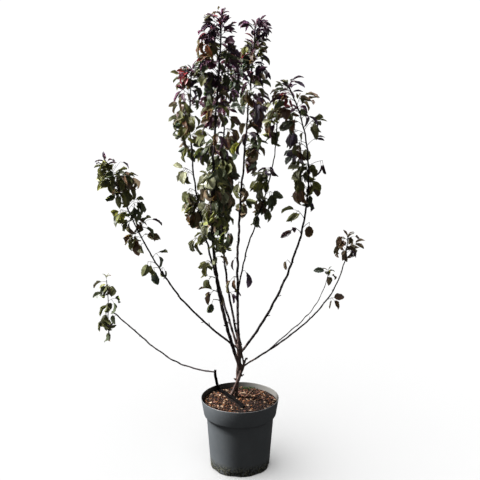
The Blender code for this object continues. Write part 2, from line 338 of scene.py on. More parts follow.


# %% The moulded plastic: dust, scuffs, painted light on the right and dark patches at the foot
def moulded_plastic(name, shades, dust_share, painted_light_share):
    """Near-shade plastic, dusty, with painted light towards the right and dark patches near the ground."""
    material, tree, shader = new_material(name, 0.5)
    place = add_node(tree, "ShaderNodeTexCoord").outputs["Object"]
    split = add_node(tree, "ShaderNodeSeparateXYZ", Vector=place)
    colour = mix_colours(tree, add_mottle(tree, place, 14.0, 4.0, 0.35, 0.65), *shades)
    upright = add_node(tree, "ShaderNodeMapping", Vector=place, Scale=(1, 1, 0.1))
    scuffs = add_mottle(tree, upright.outputs["Vector"], 240.0, 3.0, 0.64, 0.78)
    colour = mix_colours(tree, calculate(tree, "MULTIPLY", scuffs, 0.12), colour, (0.12, 0.13, 0.13))
    dust = add_mottle(tree, place, 60.0, 6.0, 0.50, 0.80)
    colour = mix_colours(tree, calculate(tree, "MULTIPLY", dust, dust_share), colour, (0.26, 0.23, 0.20))
    # Painted light: with a share above 0, the colour turns paler towards +X, as if the right side were lit.
    painted_light = calculate(tree, "MULTIPLY", ramp(tree, split.outputs["X"], -0.06, 0.07), painted_light_share)
    colour = mix_colours(tree, painted_light, colour, (0.155, 0.150, 0.140))
    # Darker in patches towards the foot, with pale specks in the dark.
    foot_patches = add_mottle(tree, place, 110.0, 6.0, 0.38, 0.48)
    foot_dark_mask = calculate(tree, "MULTIPLY", ramp(tree, split.outputs["Z"], 0.046, 0.022), foot_patches)
    speck_mask = add_mottle(tree, place, 200.0, 2.0, 0.52, 0.57)
    foot_dark_colour = mix_colours(tree, speck_mask, (0.011, 0.011, 0.009), (0.14, 0.14, 0.09))
    tree.links.new(mix_colours(tree, foot_dark_mask, colour, foot_dark_colour), shader.inputs["Base Color"])
    fine = add_mottle(tree, place, 900.0, 2.0, 0.3, 0.7)
    roughness = calculate(tree, "MULTIPLY_ADD", foot_dark_mask, 0.3, 0.47)
    tree.links.new(roughness, shader.inputs["Roughness"])
    height = calculate(tree, "ADD", calculate(tree, "MULTIPLY", fine, 0.25), foot_dark_mask)
    add_bump(tree, shader, height, 0.35, 0.0008)
    return material


OUTER_SHADES = ((0.084, 0.092, 0.098), (0.096, 0.105, 0.112))
# The inside of the pot is nearly black as painted shade, with painted light on its right side.
INNER_PAINTED_SHADE = ((0.012, 0.013, 0.012), (0.024, 0.024, 0.022))
plastic = moulded_plastic("pot_plastic", OUTER_SHADES, 0.06, 0.0)
inside_plastic_dust_painted_light = moulded_plastic("pot_inside_dust_painted_light", INNER_PAINTED_SHADE, 0.1, 0.9)
INSIDE = 1
for face in pot_shape.faces:
    middle = face.calc_center_median()
    if middle.z > BODY_TOP[1] and face.normal.x * middle.x + face.normal.y * middle.y < 0:
        face.material_index = INSIDE
make_piece("nursery_pot", pot_shape, [plastic, inside_plastic_dust_painted_light], ["pot"])

# %% [markdown]
# ## The growing medium
# The pot is filled to two centimetres below the rim with peat and composted bark. Its top is a
# layer of bark chips a few millimetres long, orange-brown with pale and dark ones. Towards the
# right front most chips are dark, as painted shade. The filling is a spun bed with an uneven
# top. A few rough chips are then stamped all over it, each turned its own way. The same chips,
# small and green, are the moss at the back.

# %% Spin the bed
SOIL_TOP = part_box("growing_medium")[1].z
BED_RADIUS = 0.1340
BED_RINGS = 34
SWELL = 0.0035
SWELL_WAVES_PER_METRE = 28
CRUMB = 0.0022
CRUMB_WAVES_PER_METRE = 130
bed_profile = [(BED_RADIUS * index / BED_RINGS, SOIL_TOP) for index in range(BED_RINGS + 1)]
bed_profile += [(0.1270, 0.210), (0.1160, 0.186), (0.1030, 0.008), (0, 0.008)]
bed_shape = spin_profile(bed_profile)
for vert in bed_shape.verts:
    if vert.co.z > SOIL_TOP - 0.001 and math.hypot(vert.co.x, vert.co.y) < BED_RADIUS - 0.002:
        swell = SWELL * noise.noise(vert.co * SWELL_WAVES_PER_METRE)
        vert.co.z += swell + CRUMB * noise.noise(vert.co * CRUMB_WAVES_PER_METRE)
print("The bed has", len(bed_shape.faces), "faces")


# %% The peat and the chips: one finish recipe in several colours
def earthy(name, dark, light, scale, strength):
    """A matt, crumbly material between two colours."""
    material, tree, shader = new_material(name, 0.9, 0.12)
    place = add_node(tree, "ShaderNodeTexCoord").outputs["Object"]
    patches = add_mottle(tree, place, scale, 6.0, 0.38, 0.62)
    tree.links.new(mix_colours(tree, patches, dark, light), shader.inputs["Base Color"])
    crumbs = add_mottle(tree, place, scale * 4, 4.0, 0.3, 0.7)
    add_bump(tree, shader, crumbs, strength, 0.001)
    return material


peat = earthy("peat", (0.003, 0.002, 0.002), (0.014, 0.008, 0.006), 160.0, 0.9)
CHIP_FINISHES = {
    "orange": earthy("orange_bark_chip", (0.050, 0.019, 0.008), (0.19, 0.080, 0.034), 120.0, 0.6),
    "brown": earthy("brown_bark_chip", (0.016, 0.008, 0.005), (0.060, 0.027, 0.015), 120.0, 0.6),
    "pale": earthy("pale_bark_chip", (0.15, 0.095, 0.058), (0.40, 0.29, 0.20), 120.0, 0.4),
    "damp": earthy("dark_bark_chip_painted_shade", (0.006, 0.004, 0.003), (0.035, 0.019, 0.015), 120.0, 0.6),
    "pink": earthy("pink_bark_chip", (0.065, 0.027, 0.021), (0.16, 0.078, 0.060), 120.0, 0.5),
}
make_piece("peat_bed", bed_shape, [peat], ["growing_medium"])

# %% Break a few chips and scatter them
dice = random.Random(21)


def chip_template(index):
    """A rough flat splinter about one unit long."""
    shape = bmesh.new()
    bmesh.ops.create_icosphere(shape, subdivisions=1, radius=0.5)
    for vert in shape.verts:
        vert.co *= dice.uniform(0.75, 1.25)
    bmesh.ops.scale(shape, vec=(1, dice.uniform(0.45, 0.75), dice.uniform(0.22, 0.4)), verts=shape.verts)
    mesh = as_template("chip_" + str(index), shape)
    mesh.shade_flat()
    return mesh


LOW_STEM_FRONT = Vector((0.0145, -0.062, 0))
LOW_STEM_BACK = Vector((-0.0765, 0.100, 0))
CLEAR_OF_STEM = 0.0075


def near_low_stem(spot):
    """Whether a spot lies under the stem that rests on the medium."""
    nearest, share = intersect_point_line(spot, LOW_STEM_FRONT, LOW_STEM_BACK)
    return 0 < share < 1 and (spot - nearest).length < CLEAR_OF_STEM


chip_templates = [chip_template(index) for index in range(6)]
CHIP_SHARES = {"orange": 0.27, "brown": 0.30, "pale": 0.13, "pink": 0.14, "damp": 0.16}
# Round this spot at the right front most chips are dark: painted shade.
PAINTED_SHADE_MIDDLE = Vector((0.075, -0.060, 0))
PAINTED_SHADE_REACH = 0.11
CHIP_COUNT = 1750
chip_shapes = {tint: bmesh.new() for tint in CHIP_SHARES}
for _ in range(CHIP_COUNT):
    tint = dice.choices(list(CHIP_SHARES), list(CHIP_SHARES.values()))[0]
    radius = (BED_RADIUS - 0.003) * math.sqrt(dice.random())
    bearing = dice.uniform(0, math.tau)
    length = dice.choice((0.004, 0.004, 0.006, 0.008, 0.010, 0.013)) * dice.uniform(0.8, 1.2)
    spot = Vector((radius * math.cos(bearing), radius * math.sin(bearing), 0))
    if near_low_stem(spot):
        continue
    # Near that spot a chip turns dark, as painted shade.
    if dice.random() > (spot - PAINTED_SHADE_MIDDLE).length / PAINTED_SHADE_REACH:
        tint = "damp"
    swell = SWELL * noise.noise(Vector((spot.x, spot.y, SOIL_TOP)) * SWELL_WAVES_PER_METRE)
    spot.z = SOIL_TOP + swell + dice.uniform(0.0, 0.0022)
    lean = Quaternion((math.cos(bearing), math.sin(bearing), 0), dice.gauss(0, 0.35))
    turn = lean @ Quaternion((0, 0, 1), dice.uniform(0, math.tau))
    matrix = Matrix.LocRotScale(spot, turn, Vector((length, length, length)))
    stamp(chip_shapes[tint], dice.choice(chip_templates), matrix)
for tint, shape in chip_shapes.items():
    chips = make_piece("bark_chips_" + tint, shape, [CHIP_FINISHES[tint]])
    chips.data.shade_flat()

# %% Moss at the back
MOSS_MIDDLE = Vector((0.030, 0.119, SOIL_TOP + 0.002))
MOSS_TUFTS = 90
moss = earthy("moss", (0.012, 0.024, 0.008), (0.050, 0.075, 0.020), 400.0, 0.8)
moss_shape = bmesh.new()
for _ in range(MOSS_TUFTS):
    spread = Vector((dice.gauss(0, 0.020), dice.gauss(0, 0.005), dice.uniform(0, 0.004)))
    size = dice.uniform(0.003, 0.006)
    turn = Quaternion((0, 0, 1), dice.random() * 6)
    matrix = Matrix.LocRotScale(MOSS_MIDDLE + spread, turn, (size, size, size))
    stamp(moss_shape, dice.choice(chip_templates), matrix)
make_piece("moss", moss_shape, [moss])

# %% [markdown]
# ## Limbs
# Stem, bough and shoot are all one kind of thing: a tapering limb on a smooth curve. A cubic
# curve needs only four facts a person can see: where the limb starts and ends, and which way it
# heads at either end. The places are those of the frame's solids, so each limb runs through
# the middle of its solid. A real limb is never that smooth, so noise adds small crooks to the
# curve when the wood is made. Limbs that share a spot crook alike there, and stay joined. That
# noise starts from the clock unless it is given a seed, so it gets one.


# %% The curve of a limb
REACH = 0.4
STEM_CROOK = 0.0016
BOUGH_CROOK = 0.0034
CROOK_WAVES_PER_METRE = 34
CROOK_SEED = 2
UP = Vector((0, 0, 1))
noise.seed_set(CROOK_SEED)


def heading(lean, bearing):
    """The unit vector that leans off the vertical towards a bearing, both in degrees."""
    lean = math.radians(lean)
    bearing = math.radians(bearing)
    return Vector((math.sin(lean) * math.cos(bearing), math.sin(lean) * math.sin(bearing), math.cos(lean)))


class Limb:
    """A tapering limb. leave and arrive are its lean and bearing at the foot and at the tip.
    A bearing of 0 is +X and of 90 is +Y. thick holds the diameters at the foot and at the tip."""

    def __init__(self, foot, tip, leave, arrive, thick):
        self.foot = Vector(foot)
        self.tip = Vector(tip)
        self.thick = thick
        reach = REACH * (self.tip - self.foot).length
        self.first_handle = self.foot + reach * heading(*leave)
        self.last_handle = self.tip - reach * heading(*arrive)
        self.length = sum(
            (self.point((index + 1) / 20) - self.point(index / 20)).length for index in range(20))

    def point(self, share):
        """The point of the smooth curve at a share of the way from foot to tip."""
        rest = 1 - share
        return (rest**3 * self.foot + 3 * rest**2 * share * self.first_handle
                + 3 * rest * share**2 * self.last_handle + share**3 * self.tip)

    def grown(self, share):
        """The point with the small crooks that a real limb has. They are wider high up and far out."""
        straight = self.point(share)
        outward = max((straight.xy.length - 0.09) / 0.10, (straight.z - 0.50) / 0.15)
        crook = STEM_CROOK + (BOUGH_CROOK - STEM_CROOK) * min(max(outward, 0), 1)
        return straight + crook * noise.noise_vector(straight * CROOK_WAVES_PER_METRE)

    def direction(self, share):
        step = 0.001
        return (self.point(share + step) - self.point(share - step)).normalized()

    def radius(self, share):
        foot_diameter, tip_diameter = self.thick
        return (foot_diameter + (tip_diameter - foot_diameter) * share) / 2


def side_of(limb, share, bearing):
    """The unit vector square to a limb that points to a compass bearing in radians."""
    along = limb.direction(share)
    level = Vector((math.cos(bearing), math.sin(bearing), 0))
    return (level - along * level.dot(along)).normalized()


# %% Where the limbs run
UNDERGROUND = 0.012
LOW_STEM_RADIUS = 0.0055
LOW_STEM_HEIGHT = SOIL_TOP + 0.8 * LOW_STEM_RADIUS
BURIED = SOIL_TOP - UNDERGROUND
STEMS = {
    "trunk": Limb(
        (-0.0125, 0.052, BURIED), (-0.004, 0.020, 0.455), (8, 270), (3, 180), (0.0105, 0.019)),
    "right_stem": Limb(
        (-0.0365, 0.051, BURIED), (0.012, 0.018, 0.375), (25, 320), (18, 340), (0.0110, 0.0115)),
    "right_stem_top": Limb(
        (0.012, 0.018, 0.372), (0.004, 0.018, 0.428), (6, 0), (12, 180), (0.007, 0.006)),
    "pruned_stub": Limb(
        (0.013, 0.018, 0.376), (0.0225, 0.018, 0.403), (20, 0), (20, 0), (0.007, 0.006)),
}
lifted = LOW_STEM_HEIGHT * UP
LOW_STEM = Limb(LOW_STEM_FRONT + lifted, LOW_STEM_BACK + lifted, (90, 112), (90, 127), (0.013, 0.0115))
RISER = Limb(LOW_STEM_BACK + lifted, (-0.0910, 0.095, 0.327), (22, 190), (0, 0), (0.0115, 0.0095))
BOUGHS = {
    "a": Limb((-0.003, 0.018, 0.374), (-0.055, -0.150, 1.605), (21, 215), (12, 285), (0.0125, 0.0049)),
    "b": Limb((-0.011, 0.022, 0.448), (-0.170, 0.200, 1.420), (22, 140), (10, 65), (0.0084, 0.0042)),
    "c": Limb((-0.0025, 0.023, 0.448), (-0.035, 0.130, 1.470), (15, 150), (8, 55), (0.0084, 0.0042)),
    "d": Limb((-0.0035, 0.013, 0.448), (0.050, -0.040, 1.575), (3, 210), (5, 320), (0.0095, 0.0049)),
    "e": Limb((0.004, 0.0285, 0.448), (0.125, 0.200, 1.295), (18, 130), (12, 125), (0.0064, 0.0035)),
    "f": Limb((0.002, 0.018, 0.4225), (0.150, -0.160, 1.385), (39, 320), (36, 225), (0.009, 0.0042)),
    "g": Limb((0.012, 0.018, 0.372), (0.385, 0.110, 0.835), (64, 20), (12, 85), (0.007, 0.0035)),
    "h": Limb((-0.003, 0.018, 0.437), (-0.450, -0.070, 1.140), (53, 185), (23, 185), (0.0075, 0.0035)),
    "i": Limb((-0.091, 0.095, 0.319), (-0.475, 0.160, 0.535), (89, 170), (51, 170), (0.0055, 0.0049)),
    "i_tip": Limb((-0.485, 0.155, 0.435), (-0.490, 0.160, 0.660), (3, 235), (5, 185), (0.003, 0.0028)),
}
G_FORK_SHARE = 0.15
BOUGHS["g_fork"] = Limb(
    BOUGHS["g"].point(G_FORK_SHARE), (0.310, 0.030, 0.725), (45, 355), (6, 350), (0.0045, 0.0020))
print("Limbs:", len(STEMS) + len(BOUGHS) + 2, "and the longest is", round(BOUGHS["a"].length, 2), "m")

# %% [markdown]
# ## Wood in the round
# A limb becomes solid when a ring is extruded from station to station along its curve. Each
# new point also notes its place on a straightened limb, as an attribute named grain. The bark
# pattern reads that note, so its ridges follow every bend.


# %% Sweep a ring along a limb
def sweep(shape, stations, sides):
    """Extrudes a ring through stations of (centre, radius), and leaves both ends capped."""
    grain = shape.verts.layers.float_vector.get("grain") or shape.verts.layers.float_vector.new("grain")
    turn = Quaternion()
    ahead = UP
    travelled = 0.0
    before = None
    for index, (centre, radius) in enumerate(stations):
        following = stations[min(index + 1, len(stations) - 1)][0]
        previous = stations[max(index - 1, 0)][0]
        direction = (following - previous).normalized()
        turn = ahead.rotation_difference(direction) @ turn
        ahead = direction
        place = Matrix.LocRotScale(centre, turn, Vector((radius, radius, 1)))
        if before is None:
            ring = bmesh.ops.create_circle(
                shape, cap_ends=True, segments=sides, radius=1, matrix=place)["verts"]
            cap = ring[0].link_faces[0]
        else:
            grown = bmesh.ops.extrude_face_region(shape, geom=[cap])["geom"]
            ring = [item for item in grown if isinstance(item, bmesh.types.BMVert)]
            cap = next(item for item in grown if isinstance(item, bmesh.types.BMFace))
            bmesh.ops.transform(shape, matrix=place @ before.inverted(), verts=ring)
            travelled += (centre - previous).length
        back = place.inverted()
        for vert in ring:
            spoke = back @ vert.co
            vert[grain] = (spoke.x * radius, spoke.y * radius, travelled)
        before = place
    return grain


def limb_stations(limb, start, end, spacing, extra=None):
    """Centres and radii along a stretch of a limb. extra adds to the radius at a share."""
    count = max(round(limb.length * (end - start) / spacing), 3)
    stations = []
    for index in range(count + 1):
        share = start + (end - start) * index / count
        radius = limb.radius(share)
        if extra:
            radius += extra(share)
        stations.append((limb.grown(share), radius))
    return stations


# %% The finish of old and young bark
def bark_material(name, colours, ridge_scale, pore_amount, strength, from_grain, gloss=0.35):
    """Bark with ridges and pores, placed by the grain attribute or by the object's own axes."""
    dark, light, pore_colour = colours
    material, tree, shader = new_material(name, 0.85, gloss)
    if from_grain:
        place = add_node(tree, "ShaderNodeAttribute", {"attribute_name": "grain"}).outputs["Vector"]
    else:
        place = add_node(tree, "ShaderNodeTexCoord").outputs["Object"]
    pattern = add_node(
        tree, "ShaderNodeGroup", {"node_tree": bark},
        Vector=place, Ridge_Scale=ridge_scale, Pore_Amount=pore_amount)
    colour = mix_colours(tree, pattern.outputs["Ridges"], dark, light)
    patches = add_mottle(tree, place, 45.0, 4.0, 0.48, 0.62)
    colour = mix_colours(tree, calculate(tree, "MULTIPLY", patches, 0.5), colour, dark)
    colour = mix_colours(tree, pattern.outputs["Pores"], colour, pore_colour)
    tree.links.new(colour, shader.inputs["Base Color"])
    height = calculate(tree, "ADD", pattern.outputs["Ridges"], pattern.outputs["Pores"])
    add_bump(tree, shader, height, strength, 0.0008)
    return material


# The colours of each bark: its furrows, its ridges and its pores.
OLD_BARK = ((0.016, 0.010, 0.009), (0.20, 0.13, 0.11), (0.26, 0.19, 0.17))
YOUNG_BARK = ((0.008, 0.005, 0.006), (0.026, 0.014, 0.015), (0.085, 0.058, 0.052))
# The low stem's bark is nearly black: dark bark, with the shade it lies in painted in.
LOW_BARK_AND_SHADE = ((0.001, 0.001, 0.001), (0.004, 0.003, 0.003), (0.009, 0.007, 0.006))
old_bark = bark_material("old_bark", OLD_BARK, 330.0, 0.35, 0.9, False)
young_bark = bark_material("young_bark", YOUNG_BARK, 420.0, 0.35, 0.6, True)
low_bark_and_painted_shade = bark_material("low_bark_and_painted_shade", LOW_BARK_AND_SHADE, 420.0, 0.3, 0.6, True, 0.04)
print("Bark finishes:", old_bark.name, young_bark.name, low_bark_and_painted_shade.name)

# %% [markdown]
# ## The crossed stems
# Two stems leave the ground side by side, cross and fuse into one trunk that soon splits into
# boughs. Where real wood has fused, the bark runs on without a seam. So the stems and the
# feet of the boughs are swept apart, then joined by a voxel remesh, which fills the seams like
# clay. After that the bark's ridges are raised in the mesh itself.

# %% Sweep the stems, the knobs and the feet of the boughs
FLARE = 0.001
FLARE_HEIGHT = 0.035
FUSED_LENGTH = 0.055


def root_flare(limb):
    """The extra radius of a stem near the ground, as a function of the share."""
    def extra(share):
        above = max(limb.point(share).z - SOIL_TOP, 0)
        return FLARE * max(1 - above / FLARE_HEIGHT, 0)
    return extra


def add_ball(shape, middle, radius):
    """Adds a ball of wood."""
    bmesh.ops.create_icosphere(shape, subdivisions=2, radius=radius, matrix=Matrix.Translation(middle))


stem_shape = bmesh.new()
for name, limb in STEMS.items():
    flared = root_flare(limb) if name in ("trunk", "right_stem") else None
    sweep(stem_shape, limb_stations(limb, 0, 1, 0.004, flared), 16)
for letter in "abcdefgh":
    limb = BOUGHS[letter]
    sweep(stem_shape, limb_stations(limb, 0, FUSED_LENGTH / limb.length, 0.004), 14)
JOINTS = (((0.000, 0.020, 0.372), 0.0100), ((-0.002, 0.020, 0.440), 0.0112))
for middle, radius in JOINTS:
    add_ball(stem_shape, middle, radius)
# Each knob: its stem, the share along it, the side, how far it stands out and its radius.
KNOBS = (("trunk", 0.36, 190, 0.0015, 0.0046), ("trunk", 0.38, 195, 0.0060, 0.0030),
         ("right_stem", 0.76, 350, 0.0020, 0.0038), ("right_stem", 0.79, 355, 0.0058, 0.0026),
         ("trunk", 0.55, 300, 0.0005, 0.0035), ("pruned_stub", 0.95, 0, 0.0, 0.0040))
for name, share, bearing, standing_out, radius in KNOBS:
    limb = STEMS[name]
    out = side_of(limb, share, math.radians(bearing))
    add_ball(stem_shape, limb.point(share) + out * (limb.radius(share) + standing_out), radius)
bmesh.ops.recalc_face_normals(stem_shape, faces=stem_shape.faces)
print("Swept", len(stem_shape.faces), "faces before the remesh")

# %% Fuse them and raise the bark
VOXEL = 0.0011
RIDGE_DEPTH = 0.0006
RIDGES_AROUND = 260
RIDGES_ALONG = 34
LUMP_DEPTH = 0.0010
LUMPS_PER_METRE = 75


def fused(shape, voxel):
    """Joins overlapping closed shapes into one skin and returns it as a bmesh."""
    mesh = bpy.data.meshes.new("clay")
    shape.to_mesh(mesh)
    shape.free()
    clay = bpy.data.objects.new("clay", mesh)
    bpy.context.scene.collection.objects.link(clay)
    remesh = clay.modifiers.new("Fuse", "REMESH")
    remesh.mode = "VOXEL"
    remesh.voxel_size = voxel
    evaluated = clay.evaluated_get(bpy.context.evaluated_depsgraph_get())
    skin = bmesh.new()
    skin.from_mesh(evaluated.to_mesh())
    evaluated.to_mesh_clear()
    bpy.data.objects.remove(clay, do_unlink=True)
    bpy.data.meshes.remove(mesh)
    return skin


skin = fused(stem_shape, VOXEL)
for _ in range(3):
    bmesh.ops.smooth_vert(
        skin, verts=skin.verts, factor=0.5, use_axis_x=True, use_axis_y=True, use_axis_z=True)
skin.normal_update()
moves = []
for vert in skin.verts:
    x, y, z = vert.co
    ridge = noise.noise(Vector((x * RIDGES_AROUND, y * RIDGES_AROUND, z * RIDGES_ALONG)))
    lump = noise.noise(vert.co * LUMPS_PER_METRE)
    moves.append(vert.normal * (RIDGE_DEPTH * ridge + LUMP_DEPTH * lump))
for vert, move in zip(skin.verts, moves):
    vert.co += move
make_piece("stems_bark", skin, [old_bark], list(STEMS))

# %% [markdown]
# ## The low stem and a fallen twig
# A third, dark stem lies on the medium and turns up inside the rim. Its near-black colour is
# dark bark with painted shade. It has no joins, so it needs no remesh: it is one swept limb,
# whose surface is moved in and out by noise that is drawn out along the grain. A pale dead
# twig lies behind the stems and is made in the same way.


# %% The low stem on the growing medium
def roughen(shape, grain, depth, waves):
    """Moves each point of a swept limb in or out, by noise that is drawn out along the grain."""
    shape.normal_update()
    for vert in shape.verts:
        spoke = vert[grain]
        lift = noise.noise(Vector((spoke.x * waves, spoke.y * waves, spoke.z * waves * 0.25)))
        vert.co += vert.normal * depth * lift


low_shape = bmesh.new()
low_stations = limb_stations(LOW_STEM, 0, 1, 0.005) + limb_stations(RISER, 0.12, 1, 0.005)
grain = sweep(low_shape, low_stations, 14)
bmesh.ops.recalc_face_normals(low_shape, faces=low_shape.faces)
roughen(low_shape, grain, 0.0008, 200)
make_piece("low_stem_bark", low_shape, [low_bark_and_painted_shade], ["low_stem", "low_stem_riser"])

# %% The fallen twig
FALLEN_TWIG = Limb(
    (0.029, 0.050, SOIL_TOP + 0.004), (0.053, 0.104, SOIL_TOP + 0.007), (85, 66), (88, 66), (0.0045, 0.003))
pale_wood = earthy("pale_dead_wood", (0.06, 0.038, 0.028), (0.19, 0.13, 0.095), 260.0, 0.4)
fallen_shape = bmesh.new()
grain = sweep(fallen_shape, limb_stations(FALLEN_TWIG, 0, 1, 0.004), 8)
bmesh.ops.recalc_face_normals(fallen_shape, faces=fallen_shape.faces)
roughen(fallen_shape, grain, 0.0005, 300)
make_piece("fallen_twig", fallen_shape, [pale_wood])

# %% [markdown]
# ## The boughs
# A year-old shoot isn't a smooth rod. Every two or three centimetres it has a node, where it
# swells a little and carries a bud or the stub of a fallen leaf. The nodes turn round the shoot
# by about 137 degrees from one to the next. The same turn deals out the sprays of leaves later.

# %% Sweep each bough with its nodes and buds
GOLDEN_TURN = math.radians(137.5)
NODE_SPACING = 0.027
NODE_SWELLING = 0.13
NODE_HALF_LENGTH = 0.006
bud_dice = random.Random(8)


def node_swelling(limb):
    """The extra radius of a limb at its nodes, as a function of the share."""
    def extra(share):
        past = (share * limb.length) % NODE_SPACING
        near = min(past, NODE_SPACING - past) / NODE_HALF_LENGTH
        return limb.radius(share) * NODE_SWELLING * max(1 - near * near, 0)
    return extra


def add_buds(shape, limb, start, end):
    """Puts a pointed bud or a short spur at each node."""
    count = int(limb.length * (end - start) / NODE_SPACING)
    for index in range(1, count):
        if bud_dice.random() < 0.35:
            continue
        share = start + index * NODE_SPACING / limb.length
        out = side_of(limb, share, index * GOLDEN_TURN)
        length = bud_dice.choice((0.003, 0.004, 0.004, 0.006, 0.011)) * bud_dice.uniform(0.8, 1.3)
        lean = (out + limb.direction(share) * bud_dice.uniform(0.5, 1.4)).normalized()
        foot = limb.grown(share) + out * limb.radius(share) * 0.6
        thick = limb.radius(share) * 0.42
        stations = [(foot + lean * length * step, thick * size) for step, size in
                    ((0, 1.0), (0.35, 0.8), (0.75, 0.95), (0.92, 0.75), (1.0, 0.25))]
        sweep(shape, stations, 6)


BOUGH_NODES = {letter: ["bough_" + letter] for letter in BOUGHS if letter != "i_tip"}
BOUGH_NODES["b"].append("bough_b_upper")
BOUGH_NODES["e"].append("bough_e_upper")
BARE_END = {"a": 0.33, "b": 0.44, "c": 0.34, "d": 0.42, "e": 0.51, "f": 0.59, "g": 0.85, "g_fork": 0.87,
            "h": 0.61, "i": 0.97}
for letter, nodes in BOUGH_NODES.items():
    limb = BOUGHS[letter]
    start = 0 if letter in ("i", "g_fork") else (FUSED_LENGTH - 0.012) / limb.length
    bough_shape = bmesh.new()
    grain = sweep(bough_shape, limb_stations(limb, start, 0.995, 0.006, node_swelling(limb)), 10)
    if letter == "i":
        sweep(bough_shape, limb_stations(BOUGHS["i_tip"], 0, 0.97, 0.006, node_swelling(BOUGHS["i_tip"])), 8)
    add_buds(bough_shape, limb, start, BARE_END[letter])
    bmesh.ops.recalc_face_normals(bough_shape, faces=bough_shape.faces)
    roughen(bough_shape, grain, 0.0004, 260)
    make_piece("bough_" + letter + "_bark", bough_shape, [young_bark], nodes)

# %% [markdown]
# ## One leaf
# A crabapple leaf is oval with a drawn-out point, folded along its midrib, and it arches
# backwards on a thin stalk. One leaf is made from a small grid, narrowed to the outline, and
# given a second face below so that it is a closed body. A few such leaves, broad, narrow or
# curled, are enough: turned and scaled, they never look alike.

# %% Shape a leaf from a grid
LEAF_ROWS = 9
TEETH = (0.96, 1.06)
BLADE_DEPTH = 0.016
UNDERSIDE = 1
STALK = 2


def outline(along):
    """Half the width of the blade, from 0 at either end to 1 at its widest."""
    widest = 0.6 / 1.4
    peak = widest**0.6 * (1 - widest) ** 0.8
    return max(along, 0) ** 0.6 * max(1 - along, 0) ** 0.8 / peak


def bend(shape, length, arch, twist):
    """Bends everything that lies along +Y downwards by a total angle, and twists it."""
    curl = arch / length
    for vert in shape.verts:
        x, y, z = vert.co
        turned = twist * y / length
        across = x * math.cos(turned) - z * math.sin(turned)
        lift = x * math.sin(turned) + z * math.cos(turned)
        angle = curl * y
        vert.co = (across,
                   math.sin(angle) / curl + lift * math.sin(angle),
                   -(1 - math.cos(angle)) / curl + lift * math.cos(angle))


def leaf_template(name, width, fold, arch, twist, wave, stalk):
    """A leaf whose blade is one unit long, on a stalk that starts at the origin along +Y."""
    shape = bmesh.new()
    shape.loops.layers.uv.new("blade")
    bmesh.ops.create_grid(shape, x_segments=2, y_segments=LEAF_ROWS, size=0.5, calc_uvs=True)
    for vert in shape.verts:
        along = vert.co.y + 0.5
        side = vert.co.x * 2
        tooth = TEETH[round(along * LEAF_ROWS) % 2]
        half = width / 2 * outline(along) * tooth
        ripple = wave * math.sin(along * 11 + side * 1.3) * abs(side)
        lift = abs(side) * half * math.sin(fold) + ripple * half
        vert.co = (side * half * math.cos(fold), stalk + along, lift)
    top_faces = shape.faces[:]
    copied = bmesh.ops.duplicate(shape, geom=top_faces)["geom"]
    lower_faces = [item for item in copied if isinstance(item, bmesh.types.BMFace)]
    bmesh.ops.reverse_faces(shape, faces=lower_faces)
    for face in lower_faces:
        face.material_index = UNDERSIDE
    for vert in {vert for face in lower_faces for vert in face.verts}:
        inside = abs(vert.co.x) < 0.0001 and stalk + 0.01 < vert.co.y < stalk + 0.99
        if inside:
            vert.co.z -= BLADE_DEPTH
    bmesh.ops.remove_doubles(shape, verts=shape.verts, dist=0.0005)
    for edge in shape.edges:
        sides = {face.material_index for face in edge.link_faces}
        on_midrib = all(abs(vert.co.x) < 0.0001 for vert in edge.verts)
        edge.smooth = len(sides) == 1 and not on_midrib
    lay_down = Matrix.Translation((0, stalk / 2 + 0.02, 0)) @ Matrix.Rotation(-math.pi / 2, 4, "X")
    rod = bmesh.ops.create_cone(
        shape, cap_ends=True, segments=4, radius1=0.018, radius2=0.012, depth=stalk + 0.04, matrix=lay_down)
    rod_faces = {face for vert in rod["verts"] for face in vert.link_faces}
    for face in rod_faces:
        face.material_index = STALK
    long_edges = [edge for edge in {edge for vert in rod["verts"] for edge in vert.link_edges}
                  if edge.calc_length() > stalk * 0.8]
    bmesh.ops.subdivide_edges(shape, edges=long_edges, cuts=2)
    bend(shape, 1 + stalk, arch, twist)
    return as_template(name, shape)


# For each kind, the leaves as width, fold, arch, twist, wave and stalk. Angles are in radians.
LEAF_FORMS = {
    "broad": ((0.57, 0.45, 1.0, 0.4, 0.12, 0.32), (0.53, 0.65, 1.4, -0.7, 0.16, 0.40),
              (0.61, 0.25, 0.7, 0.6, 0.14, 0.25), (0.53, 0.80, 1.8, 0.6, 0.18, 0.36)),
    "narrow": ((0.38, 0.60, 0.9, 0.3, 0.08, 0.22), (0.34, 0.80, 1.5, -0.5, 0.10, 0.28),
               (0.42, 0.45, 0.5, 0.4, 0.08, 0.18)),
    "curled": ((0.50, 1.05, 1.9, 1.0, 0.22, 0.34), (0.54, 0.90, 2.4, -1.3, 0.26, 0.30),
               (0.46, 1.20, 1.3, 1.6, 0.20, 0.40)),
}
LEAF_KINDS = {
    kind: [leaf_template(kind + "_" + str(number), *form) for number, form in enumerate(forms, 1)]
    for kind, forms in LEAF_FORMS.items()
}
print("A leaf has", len(LEAF_KINDS["broad"][0].polygons), "faces")

# %% [markdown]
# ## The colours of the leaves
# The youngest leaves at the tips are dark purple, and a few turn crimson or orange. Further
# down they are dark green, olive and bronze, with dry brown ones in the oldest sprays. Each
# colour is a plain finish of its own, and most leaves of a spray share one. The upper face is
# glossier than the underside, which is paler and downy. A leaf is so thin that some light
# passes through it: the shader's subsurface inputs let a part of the light spread inside.

